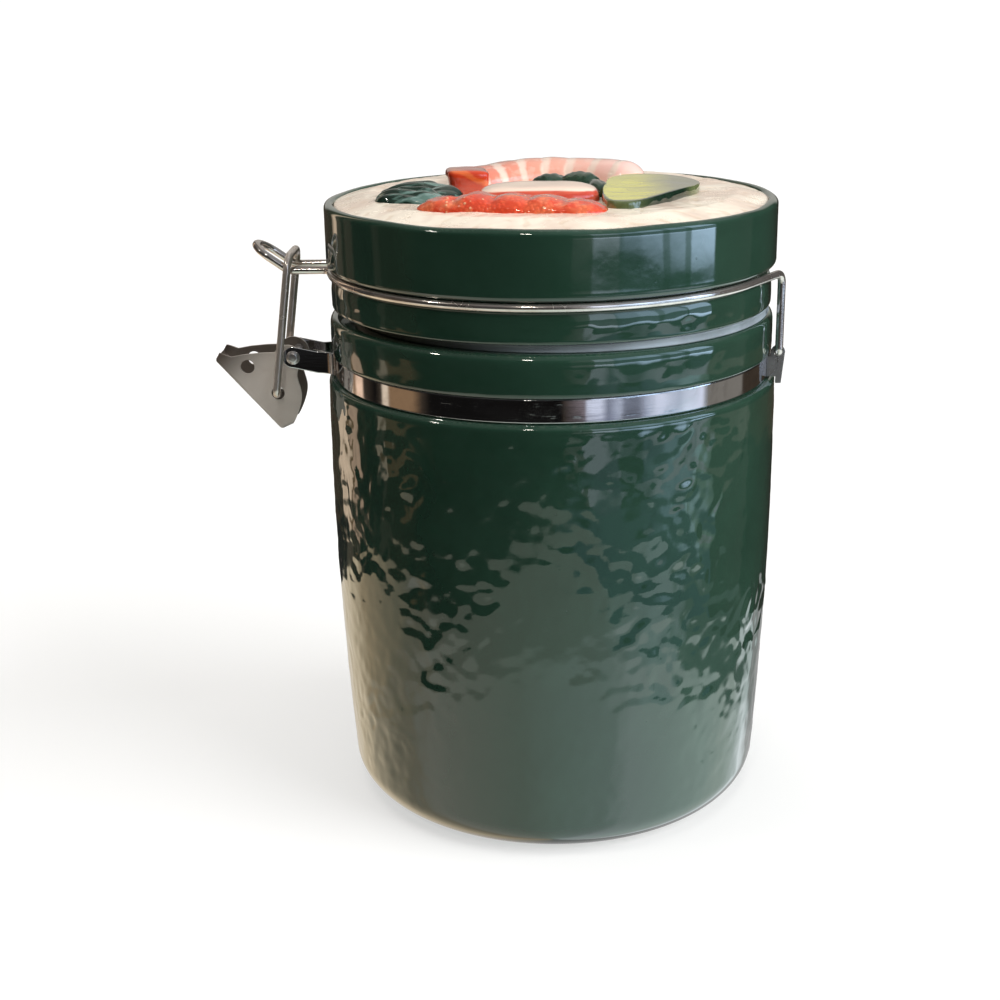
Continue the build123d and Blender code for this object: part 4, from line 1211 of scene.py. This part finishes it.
def ringed(nodes, place, colour):
    """Pink rings, redder to the left, with soft uneven white bands between them."""
    along = nodes.stored("along")
    ragged = nodes.noise(place, 150.0, 4.0, Roughness=0.6)
    colour = nodes.ramp(along, [
        (0.0, paint(222, 126, 104)), (0.28, paint(230, 148, 126)), (0.5, paint(236, 168, 148)),
        (0.72, paint(240, 182, 166)), (1.0, paint(247, 202, 194)),
    ])
    flesh = nodes.noise(place, 420.0, 2.0)
    colour = nodes.tint(colour, flesh, 0.45, 0.65, 0.25, paint(246, 214, 200))
    six_turns = nodes.times(nodes.times(ragged, 0.075, along), 6.0 * 2 * math.pi, 0.6)
    return nodes.tint(colour, nodes.maths("SINE", six_turns), 0.05, 0.95, 0.78, paint(246, 226, 212)), None


on_lid(prawn, glazed("Pink_Ringed", (230, 150, 128), (246, 206, 192), (206, 96, 74), 0.008, gloss=0.08,
                     extra=ringed), "filling_prawn")

# Tilted slice: a squared oval |x/a|^3 + |y/b|^3 = 1 laid askew, wider at its back end. Its top is
# tilted: 2.2 at the front, 0.035 more for each unit back, and 0.08 less for each past x 33.
slice_centre, slice_long, slice_wide = np.array([25.9, -16.7]), 24.4, 11.3
askew = math.radians(73)
angles = np.linspace(0, 2 * np.pi, 221)[:-1]
oval_x = squared(slice_long, np.cos(angles), 3)
oval_y = squared(slice_wide, np.sin(angles), 3) * (1 + 0.46 * oval_x / slice_long)
plan_x = oval_x * math.cos(askew) - oval_y * math.sin(askew)
plan_y = oval_x * math.sin(askew) + oval_y * math.cos(askew)
faces_at = np.degrees(np.arctan2(plan_y, plan_x))
rings_in = np.concatenate([[1.006, 1.004, 1.0, 0.995, 0.985, 0.965], np.linspace(0.94, 0.0, 28)])[:, None]
rings_up = np.concatenate([[0.0, 0.30, 0.60, 0.82, 0.95, 1.0], np.ones(28)])[:, None]
slice_x, slice_y = slice_centre[0] + rings_in * plan_x, slice_centre[1] + rings_in * plan_y
slice_top = 2.2 + 0.035 * (slice_y + 37) - 0.08 * np.clip(slice_x - 33, 0, 20)
slice_z = bed_top - flat_sink + (slice_top + flat_sink) * rings_up
slice_rows = np.stack([slice_x, slice_y, slice_z], axis=-1)
uneven_side = 1 + (0.016 * facets(slice_rows, 3.6, 95) * past(rings_in, 0.85, 0.1))[..., None]
slice_rows[..., :2] = (slice_rows[..., :2] - slice_centre) * uneven_side + slice_centre
slice_rows[..., 2] += rings_up ** 4 * 0.12 * drift(slice_rows, 6, 96)
slice_rows[-1] = slice_rows[-1].mean(axis=0)
foot = np.broadcast_to([*slice_centre, bed_top - flat_sink], slice_rows[:1].shape)
# Skin only where the slice faces front and right, painted in light and shade: dark on the side facing right
# and paler on the side facing left.
has_skin = np.clip(1.35 - np.abs((faces_at + 70 + 180) % 360 - 180) / 95, 0, 1)
inward = np.where(rings_up < 0.9, 0.0, 1 - rings_in)
rind = np.clip(1.0 - inward / (0.012 + 0.11 * has_skin ** 2), 0, 1) * has_skin
rind = np.concatenate([rind[:1], rind])
facing_right_shade = np.broadcast_to(np.sin(np.radians(faces_at + 135)), rind.shape)
cut_slice = skin("Filling_Slice", np.concatenate([foot, slice_rows]), rind=rind, side=facing_right_shade)


def fleshy_with_painted_light(nodes, place, colour):
    """Lime at the left to a grey-green painted reflection at the right, streaked across, and a dark green
    skin with painted light and shade.
    """
    streak = nodes.streaks(place, (70.0, 420.0, 300.0), 0.3, turn=-0.25)
    shift = nodes.times(streak, 0.010, nodes.axes(place)[0])
    # The grey-green towards the right is a painted reflection.
    colour = nodes.ramp(nodes.share(shift, 0.024, 0.050), [
        (0.0, paint(250, 244, 108)), (0.24, paint(240, 234, 110)), (0.42, paint(206, 202, 126)),
        (0.62, paint(154, 152, 124)), (1.0, paint(138, 136, 116)),
    ])
    colour = nodes.tint(colour, streak, 0.50, 0.68, 0.30, paint(128, 140, 96))
    # Painted light and shade on the skin: paler where it faces left, darker where it faces right.
    facing_right_shade = nodes.spread(nodes.stored("side"), 0.35, 0.85)
    lit_and_shaded_skin = nodes.blend(facing_right_shade, paint(106, 118, 76), paint(20, 42, 30))
    ragged = nodes.times(streak, 0.30, nodes.stored("rind"))
    return nodes.blend(nodes.spread(ragged, 0.22, 0.42), colour, lit_and_shaded_skin), None


on_lid(cut_slice, glazed("Lime_Slice", (170, 180, 100), (160, 168, 96), (120, 140, 80), 0.008,
                         gloss=0.07, extra=fleshy_with_painted_light), "filling_slice")

# The curl is three folded dark green lumps in the middle.
curl_grids = []
for centre, long, wide, tall, heading, seed in (
    ((0.6, 0.2), 6.8, 4.8, 4.8, 8, 101),
    ((8.6, -0.6), 7.0, 5.2, 5.3, -16, 102),
    ((13.4, -8.6), 4.0, 7.2, 3.9, 14, 103),
):
    rows, local = mound(centre, long, wide, tall, heading, plan=2.3, side=2.4)
    folds = 0.2 * np.abs(np.sin(local[..., 0] * 1.1 + seed))
    curl_grids.append(raised(rows, 0.5 * facets(rows, 3.8, seed, 4) + folds - 0.15))
curl = skin("Filling_Curl", *curl_grids)
on_lid(curl, glazed("Dark_Green_Curl", (38, 64, 48), (76, 104, 76), (18, 36, 28), 0.006, gloss=0.06),
       "filling_curl")
